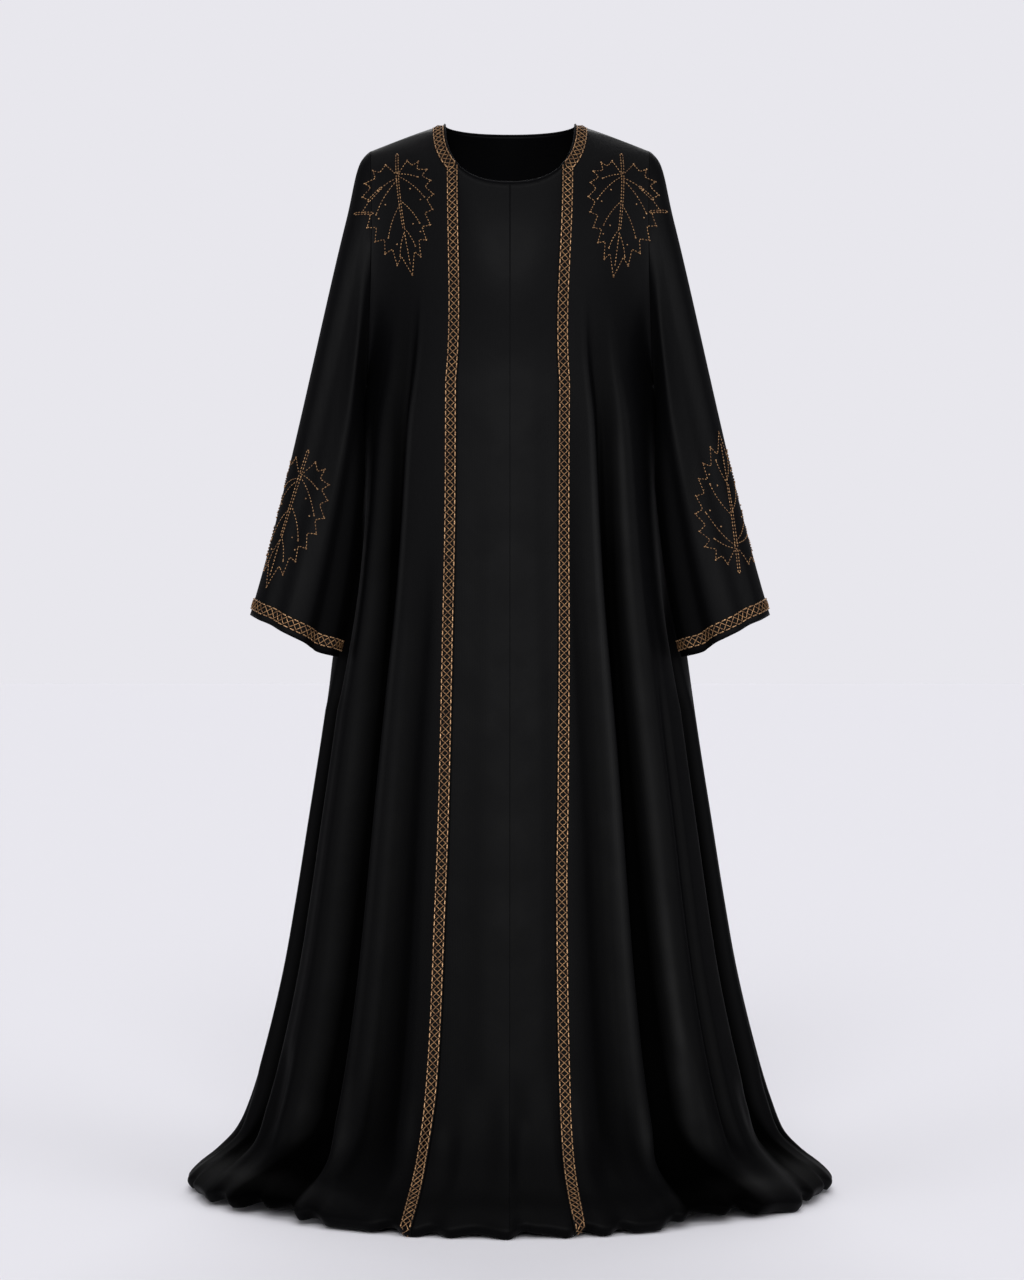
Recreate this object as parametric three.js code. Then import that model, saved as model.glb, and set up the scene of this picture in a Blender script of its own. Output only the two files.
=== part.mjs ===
// A full-length abaya as it is worn: an A-line robe with a round neck, wide sleeves and a
// plain centre front let in between two side fronts, whose edges carry a flat braid.
// The hem is longer than the wearer and lies in rolled lobes on the floor.
//
// Millimetres, +Z up. The robe faces -Y, and its wearer's left is +X. The origin is midway
// between the shoulders, at the middle height of the shoulder seams, where the wearer holds
// it up. Heights in the tables are above the floor.
import * as THREE from "three";

// Driving sizes
const SHOULDER_HEIGHT = 1430; // from the floor to the middle of the shoulder seams
const CLOTH = 1.6; // thickness of the cloth
const SEAM_GAP = 0.4; // between two pieces at a seam
const BRAID_WIDTH = 15;
const BRAID_THICK = 1.2;
const BRAID_LIFT = 0.3; // between the braid and the cloth that it lies on
const CUFF_HEM = 8; // plain cloth below the cuff braid
const BINDING = 3; // across the neck binding
const BODY_Y = 6; // the middle of the body, behind the shoulder seam's plane

// Neck and shoulder
const NECK_HALF = 90;
const NECK_TOP = 1451; // height of the side neck points
const NECK_FRONT_DROP = 90;
const NECK_BACK_DROP = 8;
const NECK_FRONT_REACH = 90; // from the shoulder seam forward to the front neck point
const NECK_BACK_REACH = 58;
const NECK_ROUND = 2.4; // exponent of the neckline's superellipse
const SEAM_Y = 4; // the shoulder seam lies this far back
const TIP_HALF = 190; // shoulder tip
const TIP_DROP = 36;

// Armhole, a ring from the shoulder tip to the underarm
const ARMHOLE_TOP = NECK_TOP - TIP_DROP;
const UNDERARM = 1095;
const ARMHOLE_REACH = 60; // forward and back of the shoulder seam
const ARMHOLE_IN = 5; // towards the neck, at its middle

// Sleeve ends, measured at the cuff
const CUFF_OUTER = { x: 349, height: 783 };
const CUFF_INNER = { x: 239, height: 726 };
const CUFF_DEPTH = 62; // half of its front to back size
const CUFF_Y = -66;

// The body's outer form, from the chest to the rolled hem: half width, depth of the front
// and of the back from the body's middle, and roundness, which is 2 for an ellipse
const SECTIONS = [
  { height: 1095, half: 195, front: 129, back: 120, round: 2.0 },
  { height: 1050, half: 205, front: 133, back: 124, round: 2.0 },
  { height: 1000, half: 211, front: 137, back: 128, round: 2.0 },
  { height: 900, half: 220, front: 147, back: 138, round: 2.0 },
  { height: 800, half: 231, front: 159, back: 150, round: 2.0 },
  { height: 700, half: 246, front: 175, back: 166, round: 2.0 },
  { height: 600, half: 261, front: 193, back: 184, round: 2.0 },
  { height: 500, half: 277, front: 214, back: 205, round: 1.97 },
  { height: 400, half: 293, front: 238, back: 229, round: 1.93 },
  { height: 300, half: 311, front: 266, back: 257, round: 1.89 },
  { height: 200, half: 335, front: 300, back: 291, round: 1.84 },
  { height: 120, half: 359, front: 334, back: 326, round: 1.82 },
  { height: 80, half: 379, front: 358, back: 350, round: 1.8 },
  { height: 50, half: 410, front: 390, back: 378, round: 1.8 },
  { height: 32, half: 433, front: 420, back: 408, round: 1.82 },
  { height: 16, half: 447, front: 438, back: 424, round: 1.85 },
  { height: 0, half: 450, front: 444, back: 430, round: 1.85 },
];

// Valleys between the hanging folds. Angles are in degrees from the centre front, positive
// to the wearer's left; before and after are the angles to the crests at each side
const VALLEYS = [
  { angle: -168, before: 10, after: 9, depth: 40, top: 1120 },
  { angle: -150, before: 9, after: 8, depth: 52, top: 1180 },
  { angle: -134, before: 8, after: 8, depth: 46, top: 1000 },
  { angle: -118, before: 8, after: 7, depth: 50, top: 1090 },
  { angle: -104, before: 7, after: 6, depth: 36, top: 800 },
  { angle: -89, before: 7, after: 7, depth: 30, top: 760 },
  { angle: -74, before: 8, after: 8, depth: 40, top: 1010 },
  { angle: -51, before: 9.5, after: 9.5, depth: 66, top: 1260 },
  { angle: -31.5, before: 10, after: 6, depth: 24, top: 760 },
  { angle: -6.5, before: 6, after: 6, depth: 9, top: 200 },
  { angle: 6, before: 6, after: 6, depth: 9, top: 220 },
  { angle: 25, before: 7.5, after: 7.7, depth: 15, top: 1180 },
  { angle: 42, before: 9.3, after: 9.5, depth: 64, top: 1250 },
  { angle: 54.6, before: 3.1, after: 3.1, depth: 14, top: 820 },
  { angle: 72.5, before: 8.5, after: 7.5, depth: 42, top: 900 },
  { angle: 87, before: 7, after: 7, depth: 30, top: 760 },
  { angle: 101, before: 7, after: 6, depth: 38, top: 820 },
  { angle: 114, before: 8, after: 8, depth: 52, top: 1120 },
  { angle: 131, before: 9, after: 8, depth: 46, top: 990 },
  { angle: 148, before: 9, after: 9, depth: 54, top: 1190 },
  { angle: 166, before: 9, after: 8, depth: 42, top: 1060 },
];

// The sleeves press the body in at both sides, below the underarms
const PRESSED = { angle: 76, before: 20, after: 14, depth: 13, top: 1085, foot: 660 };

// Where a valley meets the floor its hem stands up in an arch
const ARCH_SHARE = 0.3; // of the valley's depth
const ARCH_HEIGHT = 140; // an arch has died out at this height

// The seams of the centre front, as distances from the middle
const FRONT_SEAMS = [
  { height: 1386, right: 70, left: 70 },
  { height: 1200, right: 71, left: 66 },
  { height: 916, right: 72, left: 64 },
  { height: 748, right: 75, left: 64 },
  { height: 538, right: 79, left: 62 },
  { height: 416, right: 83, left: 60 },
  { height: 180, right: 93, left: 63 },
  { height: 74, right: 108, left: 70 },
  { height: 0, right: 127, left: 84 },
];

// Soft folds along a sleeve: angle round it from the top, to the front, and share of its length
const SLEEVE_VALLEYS = [
  { angle: 128, reach: 26, depth: 13, from: 0.1 },
  { angle: 62, reach: 22, depth: 6, from: 0.12 },
  { angle: 225, reach: 26, depth: 11, from: 0.15 },
  { angle: 292, reach: 24, depth: 7, from: 0.2 },
];

// How finely the pieces are divided
const SIDE_COLUMNS = 22;
const HALF_CENTRE_COLUMNS = 5;
const BACK_NECK_COLUMNS = 5;
const BACK_NECK_ANGLE = 24; // from the centre back to below the side neck point
const NECKLINE_ROWS = 3;
const YOKE_SHARES = [0, 0.07, 0.15, 0.24, 0.34, 0.45, 0.56, 0.67, 0.78, 0.89, 1];
const SKIRT_HEIGHTS = [1000, 900, 800, 690, 580, 470, 370, 280, 200, 140, 95, 60, 38, 18, 0];
const SLEEVE_SHARES = [0, 0.06, 0.14, 0.24, 0.36, 0.5, 0.64, 0.78, 0.9];

const rad = THREE.MathUtils.degToRad;
const vec = (x, y, z) => new THREE.Vector3(x, y, z);
const place = (x, y, height) => vec(x, y, height - SHOULDER_HEIGHT);
const clamp01 = (t) => Math.min(1, Math.max(0, t));
const power = (base, exponent) => Math.sign(base) * Math.abs(base) ** exponent;

// A smooth reading of one column of a table whose heights fall from row to row
function reading(table, column, height) {
  const last = table.length - 1;
  const slope = (i) => {
    const a = table[Math.max(0, i - 1)];
    const b = table[Math.min(last, i + 1)];
    return (b[column] - a[column]) / (b.height - a.height);
  };
  if (height >= table[0].height) return table[0][column] + slope(0) * (height - table[0].height);
  let i = 0;
  while (i < last - 1 && height < table[i + 1].height) i += 1;
  const [a, b] = [table[i], table[i + 1]];
  const span = b.height - a.height;
  const t = (height - a.height) / span;
  return hermite(a[column], slope(i) * span, b[column], slope(i + 1) * span, t);
}

function hermite(from, leave, to, arrive, t) {
  const t2 = t * t;
  const t3 = t2 * t;
  return (2 * t3 - 3 * t2 + 1) * from + (t3 - 2 * t2 + t) * leave + (3 * t2 - 2 * t3) * to + (t3 - t2) * arrive;
}

function hermitePoint(from, leave, to, arrive, t) {
  return vec(
    hermite(from.x, leave.x, to.x, arrive.x, t),
    hermite(from.y, leave.y, to.y, arrive.y, t),
    hermite(from.z, leave.z, to.z, arrive.z, t),
  );
}

// 1 at the middle of a bump, 0 at its two ends
function bump(offset, before, after) {
  const t = Math.abs(offset) / (offset < 0 ? before : after);
  return t < 1 ? 0.5 + 0.5 * Math.cos(Math.PI * t) : 0;
}

const turn = (angle) => ((((angle + 180) % 360) + 360) % 360) - 180;

// How far the folds draw the cloth in at an angle and a height
function foldDepth(angle, height) {
  let depth = 0;
  for (const v of VALLEYS) {
    const grown = clamp01((v.top - height) / v.top) ** 0.8;
    depth += v.depth * grown * bump(turn(angle - v.angle), v.before, v.after);
  }
  const down = clamp01((PRESSED.top - height) / (PRESSED.top - PRESSED.foot));
  const pressed = bump(Math.abs(angle) - PRESSED.angle, PRESSED.before, PRESSED.after);
  return depth + PRESSED.depth * pressed * Math.sin(Math.PI * down) ** 0.6;
}

function archLift(angle, height) {
  const fade = clamp01(1 - height / ARCH_HEIGHT) ** 1.5;
  return fade > 0 ? fade * ARCH_SHARE * foldDepth(angle, 0) : 0;
}

// A point of the body below the yoke
function bodyPoint(angle, height) {
  const [half, round] = [reading(SECTIONS, "half", height), reading(SECTIONS, "round", height)];
  const [sine, cosine] = [Math.sin(rad(angle)), Math.cos(rad(angle))];
  const depth = reading(SECTIONS, cosine > 0 ? "front" : "back", height);
  const [across, along] = [power(sine, 2 / round), -power(cosine, 2 / round)];
  const out = vec(power(across, round - 1) / half, power(along, round - 1) / depth, 0).normalize();
  const point = place(half * across, BODY_Y + depth * along, height + archLift(angle, height));
  return point.addScaledVector(out, -foldDepth(angle, height));
}

// The body angle at which a point of the front lies this far from the middle
function angleAt(x, height) {
  const share = Math.min(1, Math.abs(x) / reading(SECTIONS, "half", height));
  const sine = share ** (reading(SECTIONS, "round", height) / 2);
  return Math.sign(x) * THREE.MathUtils.radToDeg(Math.asin(sine));
}

// The angle of a front seam, or of a line beside it, at a height
function seamAngle(side, height, beside = 0) {
  const from = reading(FRONT_SEAMS, side > 0 ? "left" : "right", height);
  return angleAt(side * (from + beside), height);
}

// The neckline's front half: 0 at the side neck point and 90 at the centre front
function frontNeck(side, turned) {
  const [sine, cosine] = [Math.sin(rad(turned)), Math.cos(rad(turned))];
  const x = NECK_HALF * Math.max(0, cosine) ** (2 / NECK_ROUND);
  const drop = NECK_FRONT_DROP * sine ** (2 / NECK_ROUND);
  return place(side * x, SEAM_Y - NECK_FRONT_REACH * sine ** 0.6, NECK_TOP - drop);
}

function backNeck(side, turned) {
  const [sine, cosine] = [Math.sin(rad(turned)), Math.cos(rad(turned))];
  const x = NECK_HALF * Math.max(0, cosine) ** 0.9;
  return place(side * x, SEAM_Y + NECK_BACK_REACH * sine ** 0.8, NECK_TOP - NECK_BACK_DROP * sine);
}

// What the braid takes of the shoulder seam
const BRAID_SHARE = BRAID_WIDTH / (TIP_HALF - NECK_HALF);

// Where the front seam leaves the neckline
const SEAM_TURN = THREE.MathUtils.radToDeg(Math.acos((FRONT_SEAMS[0].right / NECK_HALF) ** (NECK_ROUND / 2)));

function shoulderSeam(side, share) {
  const x = NECK_HALF + (TIP_HALF - NECK_HALF) * share;
  return place(side * x, SEAM_Y, NECK_TOP - TIP_DROP * share ** 1.15);
}

// The armhole: 0 at the shoulder tip, 90 at the front, 180 at the underarm, 270 at the back
function armhole(side, turned) {
  const [sine, cosine] = [Math.sin(rad(turned)), Math.cos(rad(turned))];
  const share = (1 - cosine) / 2;
  const underarm = bodyPoint(90, UNDERARM);
  const x = TIP_HALF + (underarm.x - TIP_HALF) * share - ARMHOLE_IN * sine * sine;
  const y = SEAM_Y + (underarm.y - SEAM_Y) * share - ARMHOLE_REACH * sine;
  return place(side * x, y, ARMHOLE_TOP + (UNDERARM - ARMHOLE_TOP) * share);
}

// The direction and pull with which the cloth leaves its top edge, at the front for face 1
// and at the back for face -1
function leaveShoulder(side, face, share) {
  return vec(side * 0.1 * (1 - share), -face * (0.86 - 0.1 * share), -0.5).multiplyScalar(430 - 60 * share);
}

function leaveNeck(face, share) {
  return vec(0, -face * (0.5 + 0.3 * share), -0.86 + 0.3 * share).multiplyScalar(370);
}

// A line of the yoke, falling from its top to the body at the height of the underarm
function yokePoint(top, leave, angle, t) {
  const foot = bodyPoint(angle, UNDERARM);
  const below = bodyPoint(angle, UNDERARM - 10);
  const fall = below.sub(foot).multiplyScalar(top.distanceTo(foot) / 10);
  return hermitePoint(top, leave, foot, fall, t);
}

// The front edge of a side front: round the neckline, then down the chest
function frontEdge(side, row) {
  if (row <= NECKLINE_ROWS) return frontNeck(side, (SEAM_TURN * row) / NECKLINE_ROWS);
  const t = (row - NECKLINE_ROWS) / (YOKE_SHARES.length - 1 - NECKLINE_ROWS);
  return yokePoint(frontNeck(side, SEAM_TURN), leaveNeck(1, 0), seamAngle(side, UNDERARM), t);
}

// The line where the braid ends on the side front
function braidEdge(side, row) {
  if (row === 0) return shoulderSeam(side, BRAID_SHARE);
  if (row === YOKE_SHARES.length - 1) return bodyPoint(seamAngle(side, UNDERARM, BRAID_WIDTH), UNDERARM);
  const atTop = shoulderSeam(side, BRAID_SHARE).sub(frontEdge(side, 0)).normalize();
  const foot = bodyPoint(seamAngle(side, UNDERARM, BRAID_WIDTH), UNDERARM);
  const atFoot = foot.sub(frontEdge(side, YOKE_SHARES.length - 1)).normalize();
  const across = atTop.lerp(atFoot, clamp01(row / (NECKLINE_ROWS + 1))).normalize();
  return frontEdge(side, row).addScaledVector(across, BRAID_WIDTH);
}

// Angles from one to the other that keep the crests and valleys between them, the widest
// gaps being halved until there are enough
function foldAngles(from, to, count, spare = 2) {
  const knots = [from, to];
  for (const v of VALLEYS) {
    for (const angle of [v.angle - v.before, v.angle, v.angle + v.after]) {
      const near = knots.some((k) => Math.abs(k - angle) < spare);
      if (angle > from && angle < to && !near) knots.push(angle);
    }
  }
  knots.sort((a, b) => a - b);
  while (knots.length < count) {
    let widest = 1;
    for (let i = 1; i < knots.length; i += 1)
      if (knots[i] - knots[i - 1] > knots[widest] - knots[widest - 1]) widest = i;
    knots.splice(widest, 0, (knots[widest] + knots[widest - 1]) / 2);
  }
  return knots;
}

// The same on one side of the body, from 0 at the centre front to 180 at the centre back
function anglesOf(side, from, to, count) {
  if (side > 0) return foldAngles(from, to, count);
  return foldAngles(-to, -from, count).map((angle) => -angle).reverse();
}

// The columns of a side front, as angles at the height of the underarm. The braid takes
// the first two steps
function sideAngles(side) {
  const seam = Math.abs(seamAngle(side, UNDERARM));
  const edge = Math.abs(seamAngle(side, UNDERARM, BRAID_WIDTH));
  return [seam, (seam + edge) / 2, ...anglesOf(side, edge, 90, SIDE_COLUMNS - 1)];
}

// Where each column starts, as a share of the shoulder seam
function seamShares(side) {
  const angles = sideAngles(side);
  return angles.map((angle, column) => {
    if (column <= 2) return (BRAID_SHARE * column) / 2;
    return BRAID_SHARE + (1 - BRAID_SHARE) * ((angle - angles[2]) / (90 - angles[2])) ** 1.2;
  });
}

// Below the yoke the columns near a front seam follow it, and the others keep their angle
function driftedAngle(side, angle, edge, height) {
  const here = Math.abs(seamAngle(side, height, BRAID_WIDTH));
  const fade = clamp01(1 - (angle - edge) / 14);
  return angle + (here - edge) * fade * fade * (3 - 2 * fade);
}

// The yoke's columns from the shoulder seam, the last of them led along the armhole
function yokeRow(side, face, columns, row) {
  const t = YOKE_SHARES[row];
  const plain = columns.map((c) => yokePoint(shoulderSeam(side, c.share), leaveShoulder(side, face, c.share), c.angle, t));
  const lead = armhole(side, face > 0 ? 180 * t : 360 - 180 * t).sub(plain[plain.length - 1]);
  return plain.map((point, i) => point.addScaledVector(lead, clamp01(1 - (1 - columns[i].share) / 0.6) ** 2));
}

function sideFrontGrid(side) {
  const angles = sideAngles(side);
  const shares = seamShares(side);
  const columns = angles.map((angle, i) => ({ angle: side * angle, share: shares[i] }));
  const rows = YOKE_SHARES.map((t, row) => {
    const points = yokeRow(side, 1, columns, row);
    const [inner, outer] = [frontEdge(side, row), braidEdge(side, row)];
    const lead = outer.clone().sub(points[2]);
    return points.map((point, i) => {
      if (row === 0) return shoulderSeam(side, shares[i]);
      if (i <= 2) return inner.clone().lerp(outer, i / 2);
      return point.addScaledVector(lead, clamp01(1 - (shares[i] - BRAID_SHARE) / 0.4) ** 2);
    });
  });
  for (const height of SKIRT_HEIGHTS) {
    const [inner, outer] = [seamAngle(side, height), seamAngle(side, height, BRAID_WIDTH)];
    rows.push(
      angles.map((angle, i) => {
        if (i <= 2) return bodyPoint(inner + ((outer - inner) * i) / 2, height);
        return bodyPoint(side * driftedAngle(side, angle, angles[2], height), height);
      }),
    );
  }
  return rows;
}

// Half of the centre front, from the middle to its seam
function centreGrid(side) {
  const shares = Array.from({ length: HALF_CENTRE_COLUMNS + 1 }, (_, i) => i / HALF_CENTRE_COLUMNS);
  const steps = YOKE_SHARES.length - 1 - NECKLINE_ROWS;
  const rows = [];
  for (let row = 0; row <= steps; row += 1)
    rows.push(
      shares.map((share) => {
        const top = frontNeck(side, 90 + (SEAM_TURN - 90) * share);
        return yokePoint(top, leaveNeck(1, 0), share * seamAngle(side, UNDERARM), row / steps);
      }),
    );
  for (const height of SKIRT_HEIGHTS)
    rows.push(shares.map((share) => bodyPoint(share * seamAngle(side, height), height)));
  return rows;
}

// Half of the back, from its middle to the side seam. Its shoulder columns start where
// those of the side front do
function backHalf(side) {
  const neck = anglesOf(side, 180 - BACK_NECK_ANGLE, 180, BACK_NECK_COLUMNS + 1).reverse().slice(0, -1);
  const lines = neck.map((angle) => {
    const share = (180 - angle) / BACK_NECK_ANGLE;
    return { angle: side * angle, top: backNeck(side, 90 * (1 - share)), leave: leaveNeck(-1, share) };
  });
  const shares = seamShares(side);
  const beside = anglesOf(side, 90, 180 - BACK_NECK_ANGLE, shares.length).reverse();
  const columns = beside.map((angle, i) => ({ angle: side * angle, share: shares[i] }));
  const rows = YOKE_SHARES.map((t, row) => [
    ...lines.map((line) => yokePoint(line.top, line.leave, line.angle, t)),
    ...yokeRow(side, -1, columns, row),
  ]);
  for (const height of SKIRT_HEIGHTS) rows.push([...lines, ...columns].map((c) => bodyPoint(c.angle, height)));
  return rows;
}

// The back in one piece, from the right side seam round to the left
function backGrid() {
  const [right, left] = [backHalf(-1), backHalf(1)];
  return right.map((row, i) => [...row.slice().reverse(), ...left[i].slice(1)]);
}

// A point of a sleeve: angle round it as on the armhole, and share of its length
function sleevePoint(side, turned, t) {
  const [sine, cosine] = [Math.sin(rad(turned)), Math.cos(rad(turned))];
  const top = armhole(side, turned);
  const middle = { x: (CUFF_OUTER.x + CUFF_INNER.x) / 2, height: (CUFF_OUTER.height + CUFF_INNER.height) / 2 };
  const cuff = place(
    side * (middle.x + ((CUFF_OUTER.x - CUFF_INNER.x) / 2) * cosine),
    CUFF_Y - CUFF_DEPTH * sine,
    middle.height + ((CUFF_OUTER.height - CUFF_INNER.height) / 2) * cosine,
  );
  const upper = 0.5 + 0.5 * cosine;
  const leave = vec(side * (0.35 + 0.45 * upper), -0.8 * (1 - upper) - 0.45 * sine, -0.6);
  leave.multiplyScalar(170 - 60 * upper);
  const end = vec(side * (0.29 + 0.02 * cosine), -0.04 * sine, -1).multiplyScalar(top.distanceTo(cuff));
  const point = hermitePoint(top, leave, cuff, end, t);
  const out = vec(side * cosine, -sine, 0).normalize();
  let depth = 0;
  for (const v of SLEEVE_VALLEYS)
    depth += v.depth * bump(turn(turned - v.angle), v.reach, v.reach) * clamp01((t - v.from) / (1 - v.from));
  return point.addScaledVector(out, -depth);
}

// The share of the sleeve's length at a distance from the cuff's edge
function shareFromCuff(side, turned, distance) {
  const near = sleevePoint(side, turned, 0.98).distanceTo(sleevePoint(side, turned, 1)) / 0.02;
  return 1 - distance / near;
}

// Round the armhole, with a column at every row of the yoke
const ARMHOLE_TURNS = [
  ...YOKE_SHARES.map((t) => 180 * t),
  ...YOKE_SHARES.slice(1, -1).reverse().map((t) => 360 - 180 * t),
];

function sleeveGrid(side) {
  const rows = SLEEVE_SHARES.map((t) => ARMHOLE_TURNS.map((turned) => sleevePoint(side, turned, t)));
  for (const distance of [CUFF_HEM + BRAID_WIDTH, CUFF_HEM + BRAID_WIDTH / 2, CUFF_HEM, 0])
    rows.push(ARMHOLE_TURNS.map((turned) => sleevePoint(side, turned, shareFromCuff(side, turned, distance))));
  return rows;
}

// The pieces as grids of points, rows from the top down and columns that a closed piece
// joins end to end
const outlines = {
  front_centre_right: { grid: centreGrid(-1), flip: true },
  front_centre_left: { grid: centreGrid(1), flip: false },
  front_side_right: { grid: sideFrontGrid(-1), flip: true },
  front_side_left: { grid: sideFrontGrid(1), flip: false },
  back: { grid: backGrid(), flip: true },
  sleeve_right: { grid: sleeveGrid(-1), closed: true, flip: false, apart: -SEAM_GAP },
  sleeve_left: { grid: sleeveGrid(1), closed: true, flip: true, apart: SEAM_GAP },
};

// Outward directions at the points of every piece, shared where pieces meet at a seam
function sharedNormals(pieces) {
  const sums = new Map();
  const key = (p) => [p.x, p.y, p.z].map((v) => Math.round(v * 20)).join();
  for (const piece of pieces)
    eachQuad(piece, (a, b, c, d) => {
      const normal = c.clone().sub(a).cross(d.clone().sub(b)).normalize();
      for (const p of [a, b, c, d]) {
        if (!sums.has(key(p))) sums.set(key(p), vec(0, 0, 0));
        sums.get(key(p)).add(normal);
      }
    });
  return (p) => sums.get(key(p)).clone().normalize();
}

// Calls use with the corners of each quad, in order round it as seen from outside
function eachQuad({ grid, closed, flip }, use) {
  const width = grid[0].length;
  for (let row = 0; row + 1 < grid.length; row += 1)
    for (let column = 0; column < (closed ? width : width - 1); column += 1) {
      const next = (column + 1) % width;
      const corners = [grid[row][column], grid[row + 1][column], grid[row + 1][next], grid[row][next]];
      use(...(flip ? corners.reverse() : corners));
    }
}

// Draws the edges of a piece in by half of the seam gap. Edges in open stay where they are,
// and a sleeve, whose underside hangs from its seam beside the body, moves outwards instead
function withSeams({ grid, apart = 0 }, open = []) {
  const [high, wide] = [grid.length - 1, grid[0].length - 1];
  const inset = (p, inner, before, after) => {
    const along = after.clone().sub(before).normalize();
    const into = inner.clone().sub(p);
    into.addScaledVector(along, -into.dot(along)).normalize();
    return into.multiplyScalar(SEAM_GAP / 2);
  };
  return grid.map((row, r) =>
    row.map((p, c) => {
      const moved = p.clone().add(vec(apart, 0, 0));
      if (apart) return moved;
      const [above, below] = [grid[Math.max(0, r - 1)][c], grid[Math.min(high, r + 1)][c]];
      const [left, right] = [row[Math.max(0, c - 1)], row[Math.min(wide, c + 1)]];
      if (r === 0 && !open.includes("top")) moved.add(inset(p, below, left, right));
      if (r === high && !open.includes("foot")) moved.add(inset(p, above, left, right));
      if (c === 0) moved.add(inset(p, right, above, below));
      if (c === wide) moved.add(inset(p, left, above, below));
      return moved;
    }),
  );
}

// A wall from two grids of points, outer and inner, as one closed mesh
function wall(outer, inner, closed, flip) {
  const [high, wide] = [outer.length, outer[0].length];
  const positions = [...outer.flat(), ...inner.flat()].flatMap((p) => [p.x, p.y, p.z]);
  const index = [];
  const at = (layer, r, c) => layer * high * wide + r * wide + (c % wide);
  const quad = (a, b, c, d) => index.push(...(flip ? [a, c, b, a, d, c] : [a, b, c, a, c, d]));
  const columns = closed ? wide : wide - 1;
  for (let c = 0; c < columns; c += 1) {
    for (let r = 0; r + 1 < high; r += 1) {
      quad(at(0, r, c), at(0, r + 1, c), at(0, r + 1, c + 1), at(0, r, c + 1));
      quad(at(1, r, c), at(1, r, c + 1), at(1, r + 1, c + 1), at(1, r + 1, c));
    }
    quad(at(0, 0, c), at(0, 0, c + 1), at(1, 0, c + 1), at(1, 0, c));
    quad(at(1, high - 1, c), at(1, high - 1, c + 1), at(0, high - 1, c + 1), at(0, high - 1, c));
  }
  if (!closed)
    for (let r = 0; r + 1 < high; r += 1) {
      quad(at(1, r, 0), at(1, r + 1, 0), at(0, r + 1, 0), at(0, r, 0));
      quad(at(0, r, wide - 1), at(0, r + 1, wide - 1), at(1, r + 1, wide - 1), at(1, r, wide - 1));
    }
  const geometry = new THREE.BufferGeometry();
  geometry.setAttribute("position", new THREE.Float32BufferAttribute(positions, 3));
  geometry.setIndex(index);
  geometry.computeVertexNormals();
  return geometry;
}

const FLOOR = -SHOULDER_HEIGHT;
const outward = sharedNormals(Object.values(outlines));

function offset(grid, normals, distance) {
  return grid.map((row, r) =>
    row.map((p, c) => {
      const moved = p.clone().addScaledVector(normals[r][c], distance);
      moved.z = Math.max(FLOOR, moved.z);
      return moved;
    }),
  );
}

const black = new THREE.MeshStandardMaterial({ color: 0x161617, roughness: 0.62, metalness: 0 });
const bronze = new THREE.MeshStandardMaterial({ color: 0x96703f, roughness: 0.42, metalness: 0.25 });

const abaya = new THREE.Group();

function add(name, geometry, material) {
  const mesh = new THREE.Mesh(geometry, material);
  mesh.name = name;
  abaya.add(mesh);
}

// Cloth pieces. The sleeve's cuff and every hem are free edges
const cloth = {};
for (const [name, piece] of Object.entries(outlines)) {
  const normals = piece.grid.map((row) => row.map(outward));
  const hem = normals[normals.length - 1];
  if (!piece.closed) hem.forEach((n) => n.setZ(0).normalize());
  const grid = withSeams(piece, ["foot"]);
  cloth[name] = { grid, normals };
  add(name, wall(grid, offset(grid, normals, -CLOTH), piece.closed, piece.flip), black);
}

// The braids lie on the cloth: each takes its points from the piece below it
function braid(name, from, pick, closed) {
  const { flip } = outlines[from];
  const grid = pick(cloth[from].grid);
  const normals = pick(cloth[from].normals);
  const [under, over] = [BRAID_LIFT, BRAID_LIFT + BRAID_THICK].map((d) => offset(grid, normals, d));
  add(name, wall(over, under, closed, flip), bronze);
}

// The braid keeps a hair inside the lines that it follows
const firstColumns = (grid) =>
  grid.map(([a, b, c]) => [a.clone().lerp(b, 0.06), b, c.clone().lerp(b, 0.06)]);
const cuffRows = (grid) => grid.slice(-4, -1);
braid("braid_front_right", "front_side_right", firstColumns, false);
braid("braid_front_left", "front_side_left", firstColumns, false);
braid("braid_cuff_right", "sleeve_right", cuffRows, true);
braid("braid_cuff_left", "sleeve_left", cuffRows, true);

// The neck binding runs round the neckline's edge, just clear of it
function neckBinding() {
  const top = (name) => outlines[name].grid[0];
  const side = (name) => outlines[name].grid.slice(0, NECKLINE_ROWS).map((row) => row[0]);
  const back = top("back").slice(SIDE_COLUMNS + 1, SIDE_COLUMNS + 2 * BACK_NECK_COLUMNS).reverse();
  const edge = [
    ...top("front_centre_left"),
    ...side("front_side_left").reverse(),
    ...back,
    ...side("front_side_right"),
    ...top("front_centre_right").slice(1).reverse(),
  ];
  const rise = BINDING / 2 + 0.9;
  const rings = edge.map((p, i) => {
    const along = edge[(i + 1) % edge.length].clone().sub(edge[(i + edge.length - 1) % edge.length]).normalize();
    const normal = outward(p);
    const up = normal.clone().cross(along);
    const centre = p.clone().addScaledVector(up, rise).addScaledVector(normal, -CLOTH / 2);
    const sides = 6;
    return Array.from({ length: sides }, (_, k) => {
      const a = (2 * Math.PI * k) / sides;
      return centre.clone().addScaledVector(up, (BINDING / 2) * Math.cos(a)).addScaledVector(normal, (BINDING / 2) * Math.sin(a));
    });
  });
  return tube(rings);
}

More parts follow.
